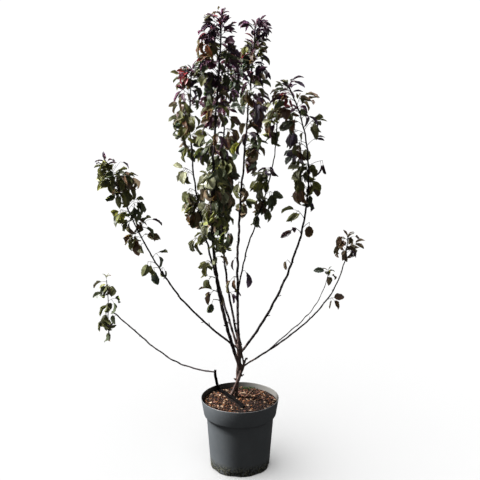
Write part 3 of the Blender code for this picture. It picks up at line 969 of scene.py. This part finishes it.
# %% The leaf group: midrib, side veins and blotches from the blade's own UV map
veined, entry, leave = new_group("veined", (("Blotch Scale", 5.0),), ("Veins", "Blotches"))
blade = add_node(veined, "ShaderNodeSeparateXYZ", Vector=entry["Vector"])
off_middle = calculate(veined, "ABSOLUTE", calculate(veined, "SUBTRACT", blade.outputs["X"], 0.5))
midrib = ramp(veined, off_middle, 0.05, 0.01)
along = calculate(veined, "MULTIPLY", blade.outputs["Y"], 9.0)
slanted = calculate(veined, "SUBTRACT", along, calculate(veined, "MULTIPLY", off_middle, 5.0))
waves = calculate(veined, "SINE", calculate(veined, "MULTIPLY", slanted, math.pi))
side_veins = ramp(veined, calculate(veined, "ABSOLUTE", waves), 0.18, 0.04, 0.6)
veined.links.new(calculate(veined, "MAXIMUM", midrib, side_veins), leave["Veins"])
blotch_noise = add_node(
    veined, "ShaderNodeTexNoise", Vector=entry["Vector"], Scale=entry["Blotch Scale"], Detail=3.0)
veined.links.new(ramp(veined, blotch_noise.outputs["Fac"], 0.4, 0.62), leave["Blotches"])
print("veined has", len(veined.nodes), "nodes")

# %% The finish of one face of a leaf
# The share of the light that enters a leaf, how far it spreads, and the share of that way that
# red, green and blue light go.
SEE_THROUGH = 0.17
SPREAD_IN_LEAF = 0.003
SPREAD_BY_COLOUR = (1.0, 1.0, 0.7)
VEIN_SHARE = 0.6


def blade_material(name, colour, second, vein_colour, roughness, specular):
    """The finish of one face of a leaf: two near colours in blotches, with paler veins."""
    material, tree, shader = new_material(name, roughness, specular)
    place = add_node(tree, "ShaderNodeUVMap", {"uv_map": "blade"}).outputs["UV"]
    pattern = add_node(tree, "ShaderNodeGroup", {"node_tree": veined}, Vector=place, Blotch_Scale=4.0)
    base = mix_colours(tree, pattern.outputs["Blotches"], colour, second)
    vein_mask = calculate(tree, "MULTIPLY", pattern.outputs["Veins"], VEIN_SHARE)
    tree.links.new(mix_colours(tree, vein_mask, base, vein_colour), shader.inputs["Base Color"])
    add_bump(tree, shader, pattern.outputs["Veins"], 0.5, 0.0006)
    shader.inputs["Subsurface Weight"].default_value = SEE_THROUGH
    shader.inputs["Subsurface Radius"].default_value = SPREAD_BY_COLOUR
    shader.inputs["Subsurface Scale"].default_value = SPREAD_IN_LEAF
    return material


def blend(first, second, share):
    """A colour part of the way from one to another."""
    return tuple(a + (b - a) * share for a, b in zip(first, second))


# %% The colours and finishes of every tint
LILAC_BLOOM = (0.12, 0.07, 0.14)
GREY_DOWN = (0.21, 0.22, 0.13)
BLOTCH_BROWN = (0.045, 0.016, 0.007)
LEAF_COLOURS = {
    "purple": (0.040, 0.008, 0.025),
    "plum_black": (0.009, 0.006, 0.012),
    "lilac_grey": (0.085, 0.068, 0.105),
    "dark_green": (0.022, 0.040, 0.012),
    "blue_green": (0.022, 0.045, 0.032),
    "olive": (0.090, 0.096, 0.020),
    # pale_olive is a pale leaf tint, made paler still as painted light for sprays in the crown's shade.
    "pale_olive": (0.25, 0.26, 0.145),
    "yellow_green": (0.150, 0.160, 0.012),
    "bronze": (0.080, 0.034, 0.014),
    "crimson": (0.28, 0.014, 0.018),
    "orange": (0.20, 0.055, 0.018),
    "dry_brown": (0.160, 0.090, 0.052),
}
PURPLISH = ("purple", "plum_black", "lilac_grey", "crimson")
STALK_COLOURS = ((0.050, 0.018, 0.020), (0.080, 0.060, 0.028))


def leaf_finishes(tint):
    """The materials of a leaf's upper face, underside and stalk."""
    colour = LEAF_COLOURS[tint]
    down = LILAC_BLOOM if tint in PURPLISH else GREY_DOWN
    stalk_colour = STALK_COLOURS[0] if tint in PURPLISH else STALK_COLOURS[1]
    blotch = blend(colour, BLOTCH_BROWN, 0.6)
    upper = blade_material(tint + "_leaf", colour, blotch, blend(colour, down, 0.55), 0.38, 0.5)
    pale = blend(colour, down, 0.30)
    under = blade_material(tint + "_underside", pale, blend(pale, colour, 0.7), down, 0.75, 0.3)
    stalk = earthy(tint + "_stalk", stalk_colour, blend(stalk_colour, down, 0.3), 150.0, 0.3)
    return [upper, under, stalk]


# %% [markdown]
# ## Where leaves may grow
# The frame's masses give the outline of the crown and the gaps in it. Each limb's masses become
# a search tree, which can say how far it is from the limb to their skin in any direction. A twig
# is grown to a share of that distance, and a leaf that would stick out too far is made
# smaller or left out.


# %% Measure the masses
LEAF_OVERHANG = 0.016
DEEPEST = 0.05
SEARCH_STEPS = 200
mass_names = [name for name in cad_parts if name.startswith("leaves_")]


def masses_of(letter):
    """The names of a limb's masses, from its foot up."""
    stem = "leaves_" + letter + "_"
    return [name for name in mass_names if name.startswith(stem) and name[len(stem):].isdigit()]


def skin_of(names):
    """A search tree over the masses with these names."""
    shape = bmesh.new()
    for name in names:
        shape.from_mesh(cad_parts[name].data)
    bmesh.ops.remove_doubles(shape, verts=shape.verts, dist=0.00001)
    tree = BVHTree.FromBMesh(shape)
    shape.free()
    return tree


def overhang(skin, point):
    """How far a point is outside the masses. Inside them, where none is very deep, it is negative."""
    spot, normal, _, distance = skin.find_nearest(point)
    outside = distance > DEEPEST or (point - spot).dot(normal) > 0
    return distance if outside else -distance


def stretch_in(skin, limb):
    """The shares where a limb first enters and last leaves a mass, searched in small steps."""
    shares = [index / SEARCH_STEPS for index in range(SEARCH_STEPS + 1)]
    inside = [share for share in shares if overhang(skin, limb.point(share)) < 0]
    return (inside[0], inside[-1]) if inside else None


MASS_STRETCHES = {}
for letter, limb in BOUGHS.items():
    for name in masses_of(letter):
        stretch = stretch_in(skin_of([name]), limb)
        if stretch:
            MASS_STRETCHES[name] = stretch
print("Masses on their limbs:", len(MASS_STRETCHES), "of", len(mass_names))

# %% [markdown]
# ## Growing the sprays
# A spray is a twig or a short spur with a few leaves, and the sprays turn round the bough as the
# buds do. Low in the crown the leaves are old and hang. Towards each tip they rise, and the last
# ones stand in a star round the bud. So each limb has two angles, one for its lowest leaves and
# one for its tip, and a spray takes the angle of the place where it grows. A plan says how thick
# each mass is, which palette its colours are dealt from, and on which side it is fullest.
# Seeded dice settle the rest, so the plant grows the same way each time.

# %% The rule for one leaf
leaf_dice = random.Random(4)
leaf_shapes = {tint: bmesh.new() for tint in LEAF_COLOURS}
leaf_nodes = {tint: set() for tint in LEAF_COLOURS}
leaf_counts = {tint: 0 for tint in LEAF_COLOURS}
twig_shape = bmesh.new()
for shape in leaf_shapes.values():
    shape.loops.layers.uv.new("blade")


def leaf_matrix(foot, direction, roll, size):
    """Lays a template leaf along a direction, with its upper face to the sky before the roll."""
    sky = UP - direction * direction.z
    if sky.length < 0.05:
        sky = Vector((direction.y, 1, 0))
    sky = Quaternion(direction, roll) @ sky.normalized()
    across = direction.cross(sky).normalized()
    turn = Matrix((across, direction, across.cross(direction))).transposed()
    return Matrix.LocRotScale(foot, turn.to_quaternion(), Vector((size, size, size)))


def tip_vertex(template):
    """The index of the tip of a leaf, which the template's UV map has at its far end."""
    uvs = template.uv_layers["blade"].data
    return max(template.loops, key=lambda loop: uvs[loop.index].uv.y).vertex_index


TIP_VERTEX = {template.name: tip_vertex(template) for kind in LEAF_KINDS.values() for template in kind}
TRIES = 8
SHRINK = 0.92


def add_leaf(foot, direction, tint, kind, size, skin, roll_spread=0.6):
    """Stamps one leaf. Returns False where it would stand too far out of the masses."""
    template = leaf_dice.choice(LEAF_KINDS[kind])
    roll = leaf_dice.gauss(0, roll_spread)
    settle = Vector((0, 0, 0.45 if direction.z > 0.3 else -0.45))
    for attempt in range(TRIES):
        matrix = leaf_matrix(foot, direction, roll, size)
        tip = matrix @ template.vertices[TIP_VERTEX[template.name]].co
        if skin is None or overhang(skin, tip) < LEAF_OVERHANG:
            stamp(leaf_shapes[tint], template, matrix)
            leaf_counts[tint] += 1
            return True
        direction = (direction + settle).normalized()
        if attempt > 1:
            size *= SHRINK
    return False


# %% The rule for one spray
KIND_BY_TINT = {"dry_brown": "curled", "purple": "narrow", "plum_black": "narrow", "crimson": "narrow"}


def kind_for(tint):
    """Mostly the kind of leaf that goes with a tint, and now and then another."""
    if leaf_dice.random() < 0.2:
        return leaf_dice.choice(("broad", "curled", "broad"))
    return KIND_BY_TINT.get(tint, "broad")


def deal_tint(palette):
    """One tint from a palette of tints and their weights."""
    return leaf_dice.choices(list(palette), list(palette.values()))[0]


def add_twig(foot, tip, thick):
    """A thin twig that lifts a little in the middle."""
    middle = (foot + tip) / 2 + Vector((0, 0, 0.06 * (tip - foot).length))
    quarter = (foot + middle) / 2 + Vector((0, 0, 0.02 * (tip - foot).length))
    stations = [(foot, thick), (quarter, thick * 0.85), (middle, thick * 0.75), (tip, thick * 0.6)]
    sweep(twig_shape, stations, 5)


def climbing(bearing, rise):
    """The unit vector that climbs by an angle above a bearing, both in radians."""
    level = Vector((math.cos(bearing), math.sin(bearing), 0))
    return (level * math.cos(rise) + UP * math.sin(rise)).normalized()


def grow_spray(limb, share, bearing, count, rise, size, palette, mass, skin, reach):
    """Grows one twig with its leaves. rise is the angle of the leaves above level, in degrees."""
    out = side_of(limb, share, bearing)
    foot = limb.grown(share) + out * limb.radius(share) * 0.6
    lift = UP * leaf_dice.uniform(0.4, 1.1)
    twig_end = foot + (out + lift).normalized() * reach
    add_twig(foot, twig_end, max(limb.radius(share) * 0.4, 0.0008))
    main_tint = deal_tint(palette)
    for index in range(count):
        tint = main_tint if leaf_dice.random() < 0.72 else deal_tint(palette)
        fan = (index - (count - 1) / 2) * math.radians(155) / max(count, 2)
        leaf_bearing = bearing + fan + leaf_dice.gauss(0, 0.35)
        direction = climbing(leaf_bearing, math.radians(rise + leaf_dice.gauss(0, 22)))
        start = foot.lerp(twig_end, 1 - 0.45 * leaf_dice.random() * (index > 0))
        kind = kind_for(tint)
        if add_leaf(start, direction, tint, kind, size * leaf_dice.uniform(0.72, 1.15), skin):
            leaf_nodes[tint].add(mass)


# %% Plan each mass: how thick it is and which colours it has
RIGHT, LEFT, FRONT, BACK, FRONT_LEFT = 0, 180, 270, 90, 225
YOUNG = {"purple": 6, "plum_black": 4, "crimson": 0.8, "lilac_grey": 1.2, "bronze": 0.2}
FIERY = {"bronze": 4, "dry_brown": 2.5, "plum_black": 1.2, "orange": 0.5}
HIGH = {
    "bronze": 2.4, "purple": 3.0, "dark_green": 2.8, "plum_black": 3.4, "olive": 1.1,
    "blue_green": 0.8, "lilac_grey": 0.5, "crimson": 0.3, "yellow_green": 0.2,
}
MIDDLE = {
    "dark_green": 2.2, "olive": 3.4, "bronze": 1.8, "plum_black": 0.8, "blue_green": 1,
    "yellow_green": 0.8, "lilac_grey": 0.4, "dry_brown": 0.9, "pale_olive": 1.5,
}
# Paler tints for masses that the crown or their own leaves shade: painted light.
PALE_AS_PAINTED_LIGHT = {
    "olive": 3.4, "yellow_green": 1.6, "pale_olive": 1.6, "dark_green": 1.8, "bronze": 1.1,
    "dry_brown": 0.7,
}
LOW = {
    "olive": 3, "dark_green": 2.4, "pale_olive": 2, "bronze": 1.7, "dry_brown": 1.4,
    "yellow_green": 0.9,
}
# The masses of each limb, from its foot up: how thick each is, its colours and its full side.
MASS_PLANS = {
    "a": ((0.6, LOW, LEFT), (2.3, LOW, RIGHT), (0.6, HIGH, RIGHT), (1.7, HIGH, LEFT),
          (2.6, HIGH, LEFT), (2.2, YOUNG, LEFT)),
    "b": ((1.5, LOW, LEFT), (0.0, LOW, LEFT), (1.5, MIDDLE, LEFT), (1.5, HIGH, RIGHT)),
    "c": ((1.1, LOW, BACK), (3.0, LOW, BACK), (1.0, HIGH, RIGHT), (2.8, HIGH, RIGHT)),
    "d": ((0.2, LOW, LEFT), (1.0, HIGH, RIGHT), (1.6, HIGH, RIGHT), (3.7, HIGH, LEFT),
          (1.2, YOUNG, RIGHT)),
    "e": ((0.6, PALE_AS_PAINTED_LIGHT, LEFT), (1.6, PALE_AS_PAINTED_LIGHT, LEFT)),
    "f": ((0.7, PALE_AS_PAINTED_LIGHT, LEFT), (0.4, PALE_AS_PAINTED_LIGHT, LEFT), (1.1, HIGH, LEFT)),
    "g": ((0.3, FIERY, BACK),),
    "g_fork": ((0.2, LOW, LEFT),),
    "h": ((0.3, PALE_AS_PAINTED_LIGHT, LEFT), (2.7, PALE_AS_PAINTED_LIGHT, FRONT), (0.8, PALE_AS_PAINTED_LIGHT, FRONT)),
    "i_tip": ((0.5, PALE_AS_PAINTED_LIGHT, BACK), (0.2, PALE_AS_PAINTED_LIGHT, BACK)),
}
# The angle of the lowest leaves and of the leaves at the tip, in degrees above level.
RISES = {
    "a": (-55, 40), "b": (-50, 25), "c": (-55, 15), "d": (-50, 45), "e": (-60, -5), "f": (-50, 25),
    "g": (-40, 20), "g_fork": (-40, 5), "h": (-30, 25), "i_tip": (-70, -25),
}
print("Plans for", sum(len(plans) for plans in MASS_PLANS.values()), "masses")

# %% Grow the sprays of every mass
SPRAY_SPACING = 0.021
LEAVES_A_SPRAY = (4, 5, 5, 6, 7)
LEAF_LENGTH = 0.048
SHORT_OF_SKIN = 0.55
ROOM_WITHOUT_SKIN = 0.03
KEPT_CLEAR_DEGREES = 50


def dealt_bearing(turn, full_side):
    """A bearing in degrees that seldom hides the limb from the front and often takes the full side."""
    bearing = turn
    off_front = abs((turn - FRONT + 180) % 360 - 180)
    if off_front < KEPT_CLEAR_DEGREES and leaf_dice.random() < 0.75:
        bearing = turn + 180
    if leaf_dice.random() < 0.35:
        bearing = full_side + leaf_dice.uniform(-45, 45)
    return math.radians(bearing)


for letter, (low_rise, tip_rise) in RISES.items():
    limb = BOUGHS[letter]
    names = masses_of(letter)
    skin = skin_of(names)
    leaf_dice.seed("masses of bough " + letter)
    first_share = MASS_STRETCHES[names[0]][0]
    last_share = MASS_STRETCHES[names[-1]][1]
    turn = leaf_dice.uniform(0, 360)
    for name, (thickness, palette, full_side) in zip(names, MASS_PLANS[letter]):
        start, end = MASS_STRETCHES[name]
        count = round(limb.length * (end - start) / SPRAY_SPACING * thickness)
        for index in range(count):
            share = min(start + (end - start) * (index + leaf_dice.uniform(0.2, 0.8)) / count, 0.995)
            turn += math.degrees(GOLDEN_TURN) + leaf_dice.gauss(0, 17)
            bearing = dealt_bearing(turn, full_side)
            ease = (share - first_share) / (last_share - first_share)
            rise = low_rise + (tip_rise - low_rise) * ease
            room = skin.ray_cast(limb.point(share), side_of(limb, share, bearing))[3]
            if room is None:
                room = ROOM_WITHOUT_SKIN
            reach = max(room - SHORT_OF_SKIN * LEAF_LENGTH * math.cos(math.radians(rise)), 0.01)
            size = LEAF_LENGTH * (1 - 0.25 * max(ease, 0) ** 4)
            grow_spray(limb, share, bearing, leaf_dice.choice(LEAVES_A_SPRAY), rise, size,
                       palette, name, skin, reach * leaf_dice.uniform(0.35, 1.05))
print("Leaves in the masses:", sum(leaf_counts.values()))

# %% A star of upright leaves at each tip
# For each limb: how many leaves its star has, and how long they are.
STARS = {
    "a": (10, 0.038), "b": (5, 0.034), "c": (6, 0.036), "d": (16, 0.042), "e": (4, 0.034),
    "f": (6, 0.040), "g": (5, 0.040), "g_fork": (4, 0.032), "h": (7, 0.042), "i_tip": (4, 0.034),
}
for letter, (count, size) in STARS.items():
    limb = BOUGHS[letter]
    names = masses_of(letter)
    skin = skin_of(names)
    palette = YOUNG if letter in "abdfh" else MASS_PLANS[letter][-1][1]
    leaf_dice.seed("tip of bough " + letter)
    for index in range(count):
        bearing = index * GOLDEN_TURN
        direction = climbing(bearing, math.radians(78 - 60 * index / count + leaf_dice.gauss(0, 8)))
        foot = limb.grown(0.99 - 0.004 * index)
        tint = deal_tint(palette)
        if add_leaf(foot, direction, tint, "narrow", size * (0.62 + 0.38 * index / count), skin, 0.3):
            leaf_nodes[tint].add(names[-1])
print("Leaves with the stars:", sum(leaf_counts.values()))

# %% [markdown]
# ## The sprays that the eye follows
# Some sprays give this plant its own look: the crimson and orange ones high on the left, the
# arching ones that make the outline, and the few that hang from bare stretches of the boughs.
# These are chosen one by one: the bough, how far along it, on which side,
# and their colour. Their leaves still fall as the rule has them.

# %% Choose the sprays and grow them
# Each spray: how far along, the side, the twig's length, the leaves, their rise and the colour.
EYE_CATCHERS = {
    "a": (
        (0.985, LEFT, 0.004, 1, 10, "crimson"), (0.96, LEFT, 0.022, 7, -10, "purple"),
        (0.945, LEFT, 0.040, 7, -30, "purple"), (0.94, LEFT, 0.024, 5, -60, "plum_black"),
        (0.93, RIGHT, 0.018, 6, 15, "purple"), (0.90, RIGHT, 0.028, 6, 20, "plum_black"),
        (0.88, RIGHT, 0.030, 6, 5, "purple"), (0.86, RIGHT, 0.024, 4, -40, "dark_green"),
        (0.955, LEFT, 0.046, 6, -20, "plum_black"), (0.935, LEFT, 0.050, 6, -25, "purple"),
        (0.92, LEFT, 0.024, 3, -30, "olive"), (0.91, LEFT, 0.072, 6, -30, "orange"),
        (0.895, LEFT, 0.040, 5, -25, "orange"), (0.85, LEFT, 0.030, 5, -35, "olive"),
        (0.83, LEFT, 0.036, 5, -45, "blue_green"), (0.81, LEFT, 0.024, 5, -50, "dark_green"),
        (0.69, LEFT, 0.030, 3, -5, "olive"), (0.66, LEFT, 0.030, 4, -30, "dark_green"),
        (0.55, LEFT, 0.015, 4, -60, "dry_brown"), (0.42, LEFT, 0.010, 4, -75, "dark_green"),
        (0.40, RIGHT, 0.006, 4, -75, "olive"), (0.33, RIGHT, 0.006, 1, -5, "dry_brown"),
        (0.31, LEFT, 0.020, 4, -50, "olive"), (0.27, LEFT, 0.024, 5, -40, "olive"),
        (0.225, LEFT, 0.022, 3, -15, "bronze"), (0.22, RIGHT, 0.004, 1, -60, "bronze"),
        (0.20, LEFT, 0.025, 1, -75, "blue_green"),
    ),
    "b": (
        (0.99, LEFT, 0.006, 4, 45, "lilac_grey"), (0.978, LEFT, 0.018, 9, -10, "crimson"),
        (0.97, LEFT, 0.026, 9, -30, "crimson"), (0.96, FRONT_LEFT, 0.020, 8, -45, "crimson"),
        (0.91, LEFT, 0.036, 4, -20, "purple"), (0.89, LEFT, 0.022, 5, -50, "olive"),
        (0.87, LEFT, 0.044, 4, -30, "bronze"), (0.83, LEFT, 0.022, 3, -40, "olive"),
        (0.79, LEFT, 0.022, 3, -55, "yellow_green"), (0.64, LEFT, 0.036, 5, -15, "pale_olive"),
        (0.63, LEFT, 0.022, 5, -20, "olive"), (0.57, LEFT, 0.022, 5, -50, "olive"),
        (0.54, LEFT, 0.034, 6, -40, "dark_green"), (0.55, LEFT, 0.020, 4, -45, "bronze"),
        (0.52, LEFT, 0.020, 4, -15, "pale_olive"), (0.49, LEFT, 0.032, 5, -50, "bronze"),
        (0.47, LEFT, 0.025, 4, -70, "dry_brown"), (0.38, LEFT, 0.035, 5, -55, "olive"),
        (0.29, LEFT, 0.020, 2, -60, "pale_olive"),
    ),
    "c": (
        (0.17, RIGHT, 0.006, 3, -20, "plum_black"),
    ),
    "d": (
        (0.99, RIGHT, 0.020, 7, 15, "purple"), (0.985, LEFT, 0.016, 6, 20, "purple"),
        (0.97, RIGHT, 0.024, 7, 0, "purple"), (0.928, LEFT, 0.036, 2, -35, "yellow_green"),
        (0.92, LEFT, 0.010, 4, -45, "plum_black"), (0.885, RIGHT, 0.032, 6, -50, "plum_black"),
        (0.87, RIGHT, 0.040, 6, -55, "plum_black"), (0.82, LEFT, 0.010, 5, -50, "bronze"),
        (0.77, LEFT, 0.018, 3, -20, "blue_green"), (0.68, RIGHT, 0.030, 4, -60, "dark_green"),
        (0.64, RIGHT, 0.038, 4, -60, "bronze"), (0.52, RIGHT, 0.008, 3, -60, "bronze"),
        (0.27, LEFT, 0.008, 1, -70, "plum_black"), (0.21, LEFT, 0.010, 3, -40, "bronze"),
    ),
    "e": (
        (0.97, LEFT, 0.004, 5, -15, "pale_olive"), (0.92, LEFT, 0.010, 5, -45, "purple"),
        (0.74, LEFT, 0.012, 4, -10, "plum_black"), (0.71, LEFT, 0.022, 6, -10, "pale_olive"),
        (0.68, LEFT, 0.024, 5, -30, "yellow_green"), (0.65, LEFT, 0.026, 5, -50, "pale_olive"),
        (0.61, LEFT, 0.018, 4, -75, "dry_brown"), (0.64, RIGHT, 0.020, 3, -70, "dark_green"),
        (0.29, RIGHT, 0.010, 2, -60, "plum_black"),
    ),
    "f": (
        (0.97, LEFT, 0.008, 4, 10, "purple"), (0.96, LEFT, 0.020, 4, -5, "crimson"),
        (0.94, LEFT, 0.030, 5, -20, "crimson"), (0.90, LEFT, 0.046, 6, -15, "bronze"),
        (0.86, LEFT, 0.026, 5, -20, "dark_green"), (0.92, RIGHT, 0.034, 2, 35, "bronze"),
        (0.88, RIGHT, 0.022, 3, -10, "plum_black"), (0.88, LEFT, 0.034, 4, -10, "orange"),
        (0.83, LEFT, 0.036, 3, -20, "lilac_grey"), (0.80, LEFT, 0.045, 2, -30, "olive"),
        (0.79, RIGHT, 0.038, 2, 20, "plum_black"), (0.77, LEFT, 0.020, 3, -20, "lilac_grey"),
        (0.74, LEFT, 0.055, 2, -35, "blue_green"), (0.72, RIGHT, 0.050, 2, -60, "plum_black"),
        (0.70, LEFT, 0.026, 4, 0, "pale_olive"), (0.68, LEFT, 0.038, 6, -25, "pale_olive"),
        (0.66, LEFT, 0.036, 5, -60, "olive"), (0.64, LEFT, 0.024, 4, -60, "bronze"),
        (0.66, RIGHT, 0.010, 3, -60, "bronze"), (0.60, RIGHT, 0.012, 2, -60, "plum_black"),
        (0.535, LEFT, 0.032, 4, 0, "olive"), (0.485, LEFT, 0.032, 3, -35, "plum_black"),
        (0.50, RIGHT, 0.030, 1, -80, "bronze"), (0.37, LEFT, 0.018, 1, 0, "dry_brown"),
    ),
    "g": (
        (0.925, RIGHT, 0.024, 2, 35, "dry_brown"), (0.98, RIGHT, 0.022, 4, -25, "bronze"),
        (0.97, LEFT, 0.020, 5, -25, "bronze"), (0.92, LEFT, 0.022, 4, -15, "bronze"),
        (0.90, RIGHT, 0.016, 2, -30, "plum_black"), (0.60, RIGHT, 0.020, 3, -35, "bronze"),
    ),
    "g_fork": (
        (0.98, LEFT, 0.006, 2, -10, "blue_green"), (0.95, RIGHT, 0.006, 2, -30, "bronze"),
    ),
    "h": (
        (0.97, LEFT, 0.004, 4, 5, "plum_black"), (0.945, LEFT, 0.016, 3, -60, "yellow_green"),
        (0.94, RIGHT, 0.030, 1, 85, "plum_black"), (0.92, RIGHT, 0.014, 4, -25, "bronze"),
        (0.90, RIGHT, 0.020, 5, -50, "olive"), (0.935, RIGHT, 0.050, 1, -5, "plum_black"),
        (0.86, RIGHT, 0.040, 5, -45, "olive"), (0.80, RIGHT, 0.045, 4, -10, "dark_green"),
        (0.79, RIGHT, 0.030, 4, -35, "dark_green"), (0.78, LEFT, 0.030, 4, -50, "yellow_green"),
        (0.75, LEFT, 0.040, 3, -15, "dark_green"), (0.69, LEFT, 0.012, 4, -45, "bronze"),
        (0.74, RIGHT, 0.012, 3, -55, "bronze"), (0.70, RIGHT, 0.045, 1, 15, "plum_black"),
        (0.69, RIGHT, 0.022, 3, 0, "dark_green"), (0.66, RIGHT, 0.018, 3, -25, "bronze"),
        (0.63, LEFT, 0.008, 2, -40, "olive"), (0.56, RIGHT, 0.018, 2, 0, "blue_green"),
        (0.53, LEFT, 0.026, 2, -70, "olive"), (0.50, LEFT, 0.020, 2, -80, "blue_green"),
        (0.49, RIGHT, 0.012, 2, -70, "dark_green"),
    ),
    "i": (
        (0.95, LEFT, 0.008, 1, -75, "plum_black"), (0.985, FRONT, 0.006, 1, -80, "dark_green"),
    ),
    "i_tip": (
        (0.93, LEFT, 0.004, 1, -20, "bronze"), (0.72, LEFT, 0.012, 2, -10, "dark_green"),
        (0.62, RIGHT, 0.012, 2, -40, "dark_green"), (0.40, LEFT, 0.010, 4, -80, "olive"),
    ),
}
EYE_LEAF_LENGTH = 0.046
YOUNG_LEAF_LENGTH = 0.036
YOUNG_FROM_SHARE = 0.93
BEARING_SPREAD = 25
for letter, sprays in EYE_CATCHERS.items():
    nearest_mass = (masses_of(letter) or ["leaves_i_tip_1"])[0]
    leaf_dice.seed("chosen sprays of bough " + letter)
    for share, side, twig_length, count, rise, tint in sprays:
        bearing = math.radians(side + leaf_dice.uniform(-BEARING_SPREAD, BEARING_SPREAD))
        size = EYE_LEAF_LENGTH if share < YOUNG_FROM_SHARE else YOUNG_LEAF_LENGTH
        palette = {tint: 12, "bronze": 0.6}
        grow_spray(
            BOUGHS[letter], share, bearing, count, rise, size, palette, nearest_mass, None, twig_length)
print("Leaves in all:", sum(leaf_counts.values()))

# %% Finish the twigs and the leaves
bmesh.ops.recalc_face_normals(twig_shape, faces=twig_shape.faces)
make_piece("twigs", twig_shape, [young_bark], mass_names)
for tint, shape in leaf_shapes.items():
    make_piece("leaves_" + tint, shape, leaf_finishes(tint), sorted(leaf_nodes[tint]))

# %% [markdown]
# ## Floor and light
# The plant stands on a wide pale floor under a white sky. The light on it comes from the left
# and is strong enough to leave the far side of the pot dark, while its shadow on the floor is
# faint and soft. One lamp can't do both, so there are two suns. A narrow one lights all but the
# floor, and a wide, weaker one lights only the floor, which light linking settles. The camera
# sees the floor and the sky brighter than the light that they give, so that the ground stays
# white and the undersides of the leaves stay dark.

# %% The pale floor
FLOOR_SEEN = (0.60, 0.60, 0.60)
FLOOR_BOUNCE = (0.06, 0.06, 0.06)
FLOOR_GLOW = 0.05
floor_shape = bmesh.new()
bmesh.ops.create_grid(floor_shape, x_segments=1, y_segments=1, size=200)
floor_mesh = bpy.data.meshes.new("floor")
floor_shape.to_mesh(floor_mesh)
floor_shape.free()
floor = bpy.data.objects.new("floor", floor_mesh)
bpy.context.scene.collection.objects.link(floor)
floor_material, tree, shader = new_material("pale_floor", 1.0, 0.0)
seen = add_node(tree, "ShaderNodeLightPath").outputs["Is Camera Ray"]
tree.links.new(mix_colours(tree, seen, FLOOR_BOUNCE, FLOOR_SEEN), shader.inputs["Base Color"])
tree.links.new(calculate(tree, "MULTIPLY", seen, FLOOR_GLOW), shader.inputs["Emission Strength"])
shader.inputs["Emission Color"].default_value = (1, 1, 1, 1)
floor_mesh.materials.append(floor_material)
print("The camera sees the floor at", FLOOR_SEEN[0], "and the plant at", FLOOR_BOUNCE[0])

# %% The sky and the two suns
SKY_SEEN = 1.05
SKY_LIGHT = 0.27
SUN_STRENGTH = 12.4
SUN_WIDTH_DEGREES = 18
FLOOR_SUN_STRENGTH = 5.5
FLOOR_SUN_WIDTH_DEGREES = 120
LAMP_DISTANCE = 4
toward_light = heading(40, 174)
toward_floor_light = heading(39, 195)
world = bpy.data.worlds.new("white_sky")
bpy.context.scene.world = world
world.use_nodes = True
tree = world.node_tree
background = tree.nodes["Background"]
background.inputs["Color"].default_value = (1, 1, 1, 1)
seen = add_node(tree, "ShaderNodeLightPath").outputs["Is Camera Ray"]
strength = calculate(tree, "MULTIPLY_ADD", seen, SKY_SEEN - SKY_LIGHT, SKY_LIGHT)
tree.links.new(strength, background.inputs["Strength"])


def add_sun(name, direction, strength, width_degrees, floor_state):
    """Adds a sun in a direction. It lights only the floor with INCLUDE, and all but it with EXCLUDE."""
    data = bpy.data.lights.new(name, "SUN")
    data.angle = math.radians(width_degrees)
    data.energy = strength
    lamp = bpy.data.objects.new(name, data)
    lamp.location = direction * LAMP_DISTANCE
    lamp.rotation_euler = direction.to_track_quat("Z", "Y").to_euler()
    bpy.context.scene.collection.objects.link(lamp)
    receivers = bpy.data.collections.new(name + "_receivers")
    receivers.objects.link(floor)
    receivers.collection_objects[0].light_linking.link_state = floor_state
    lamp.light_linking.receiver_collection = receivers


add_sun("plant_light", toward_light, SUN_STRENGTH, SUN_WIDTH_DEGREES, "EXCLUDE")
add_sun("floor_light", toward_floor_light, FLOOR_SUN_STRENGTH, FLOOR_SUN_WIDTH_DEGREES, "INCLUDE")
print("The light comes from", tuple(round(value, 2) for value in toward_light))
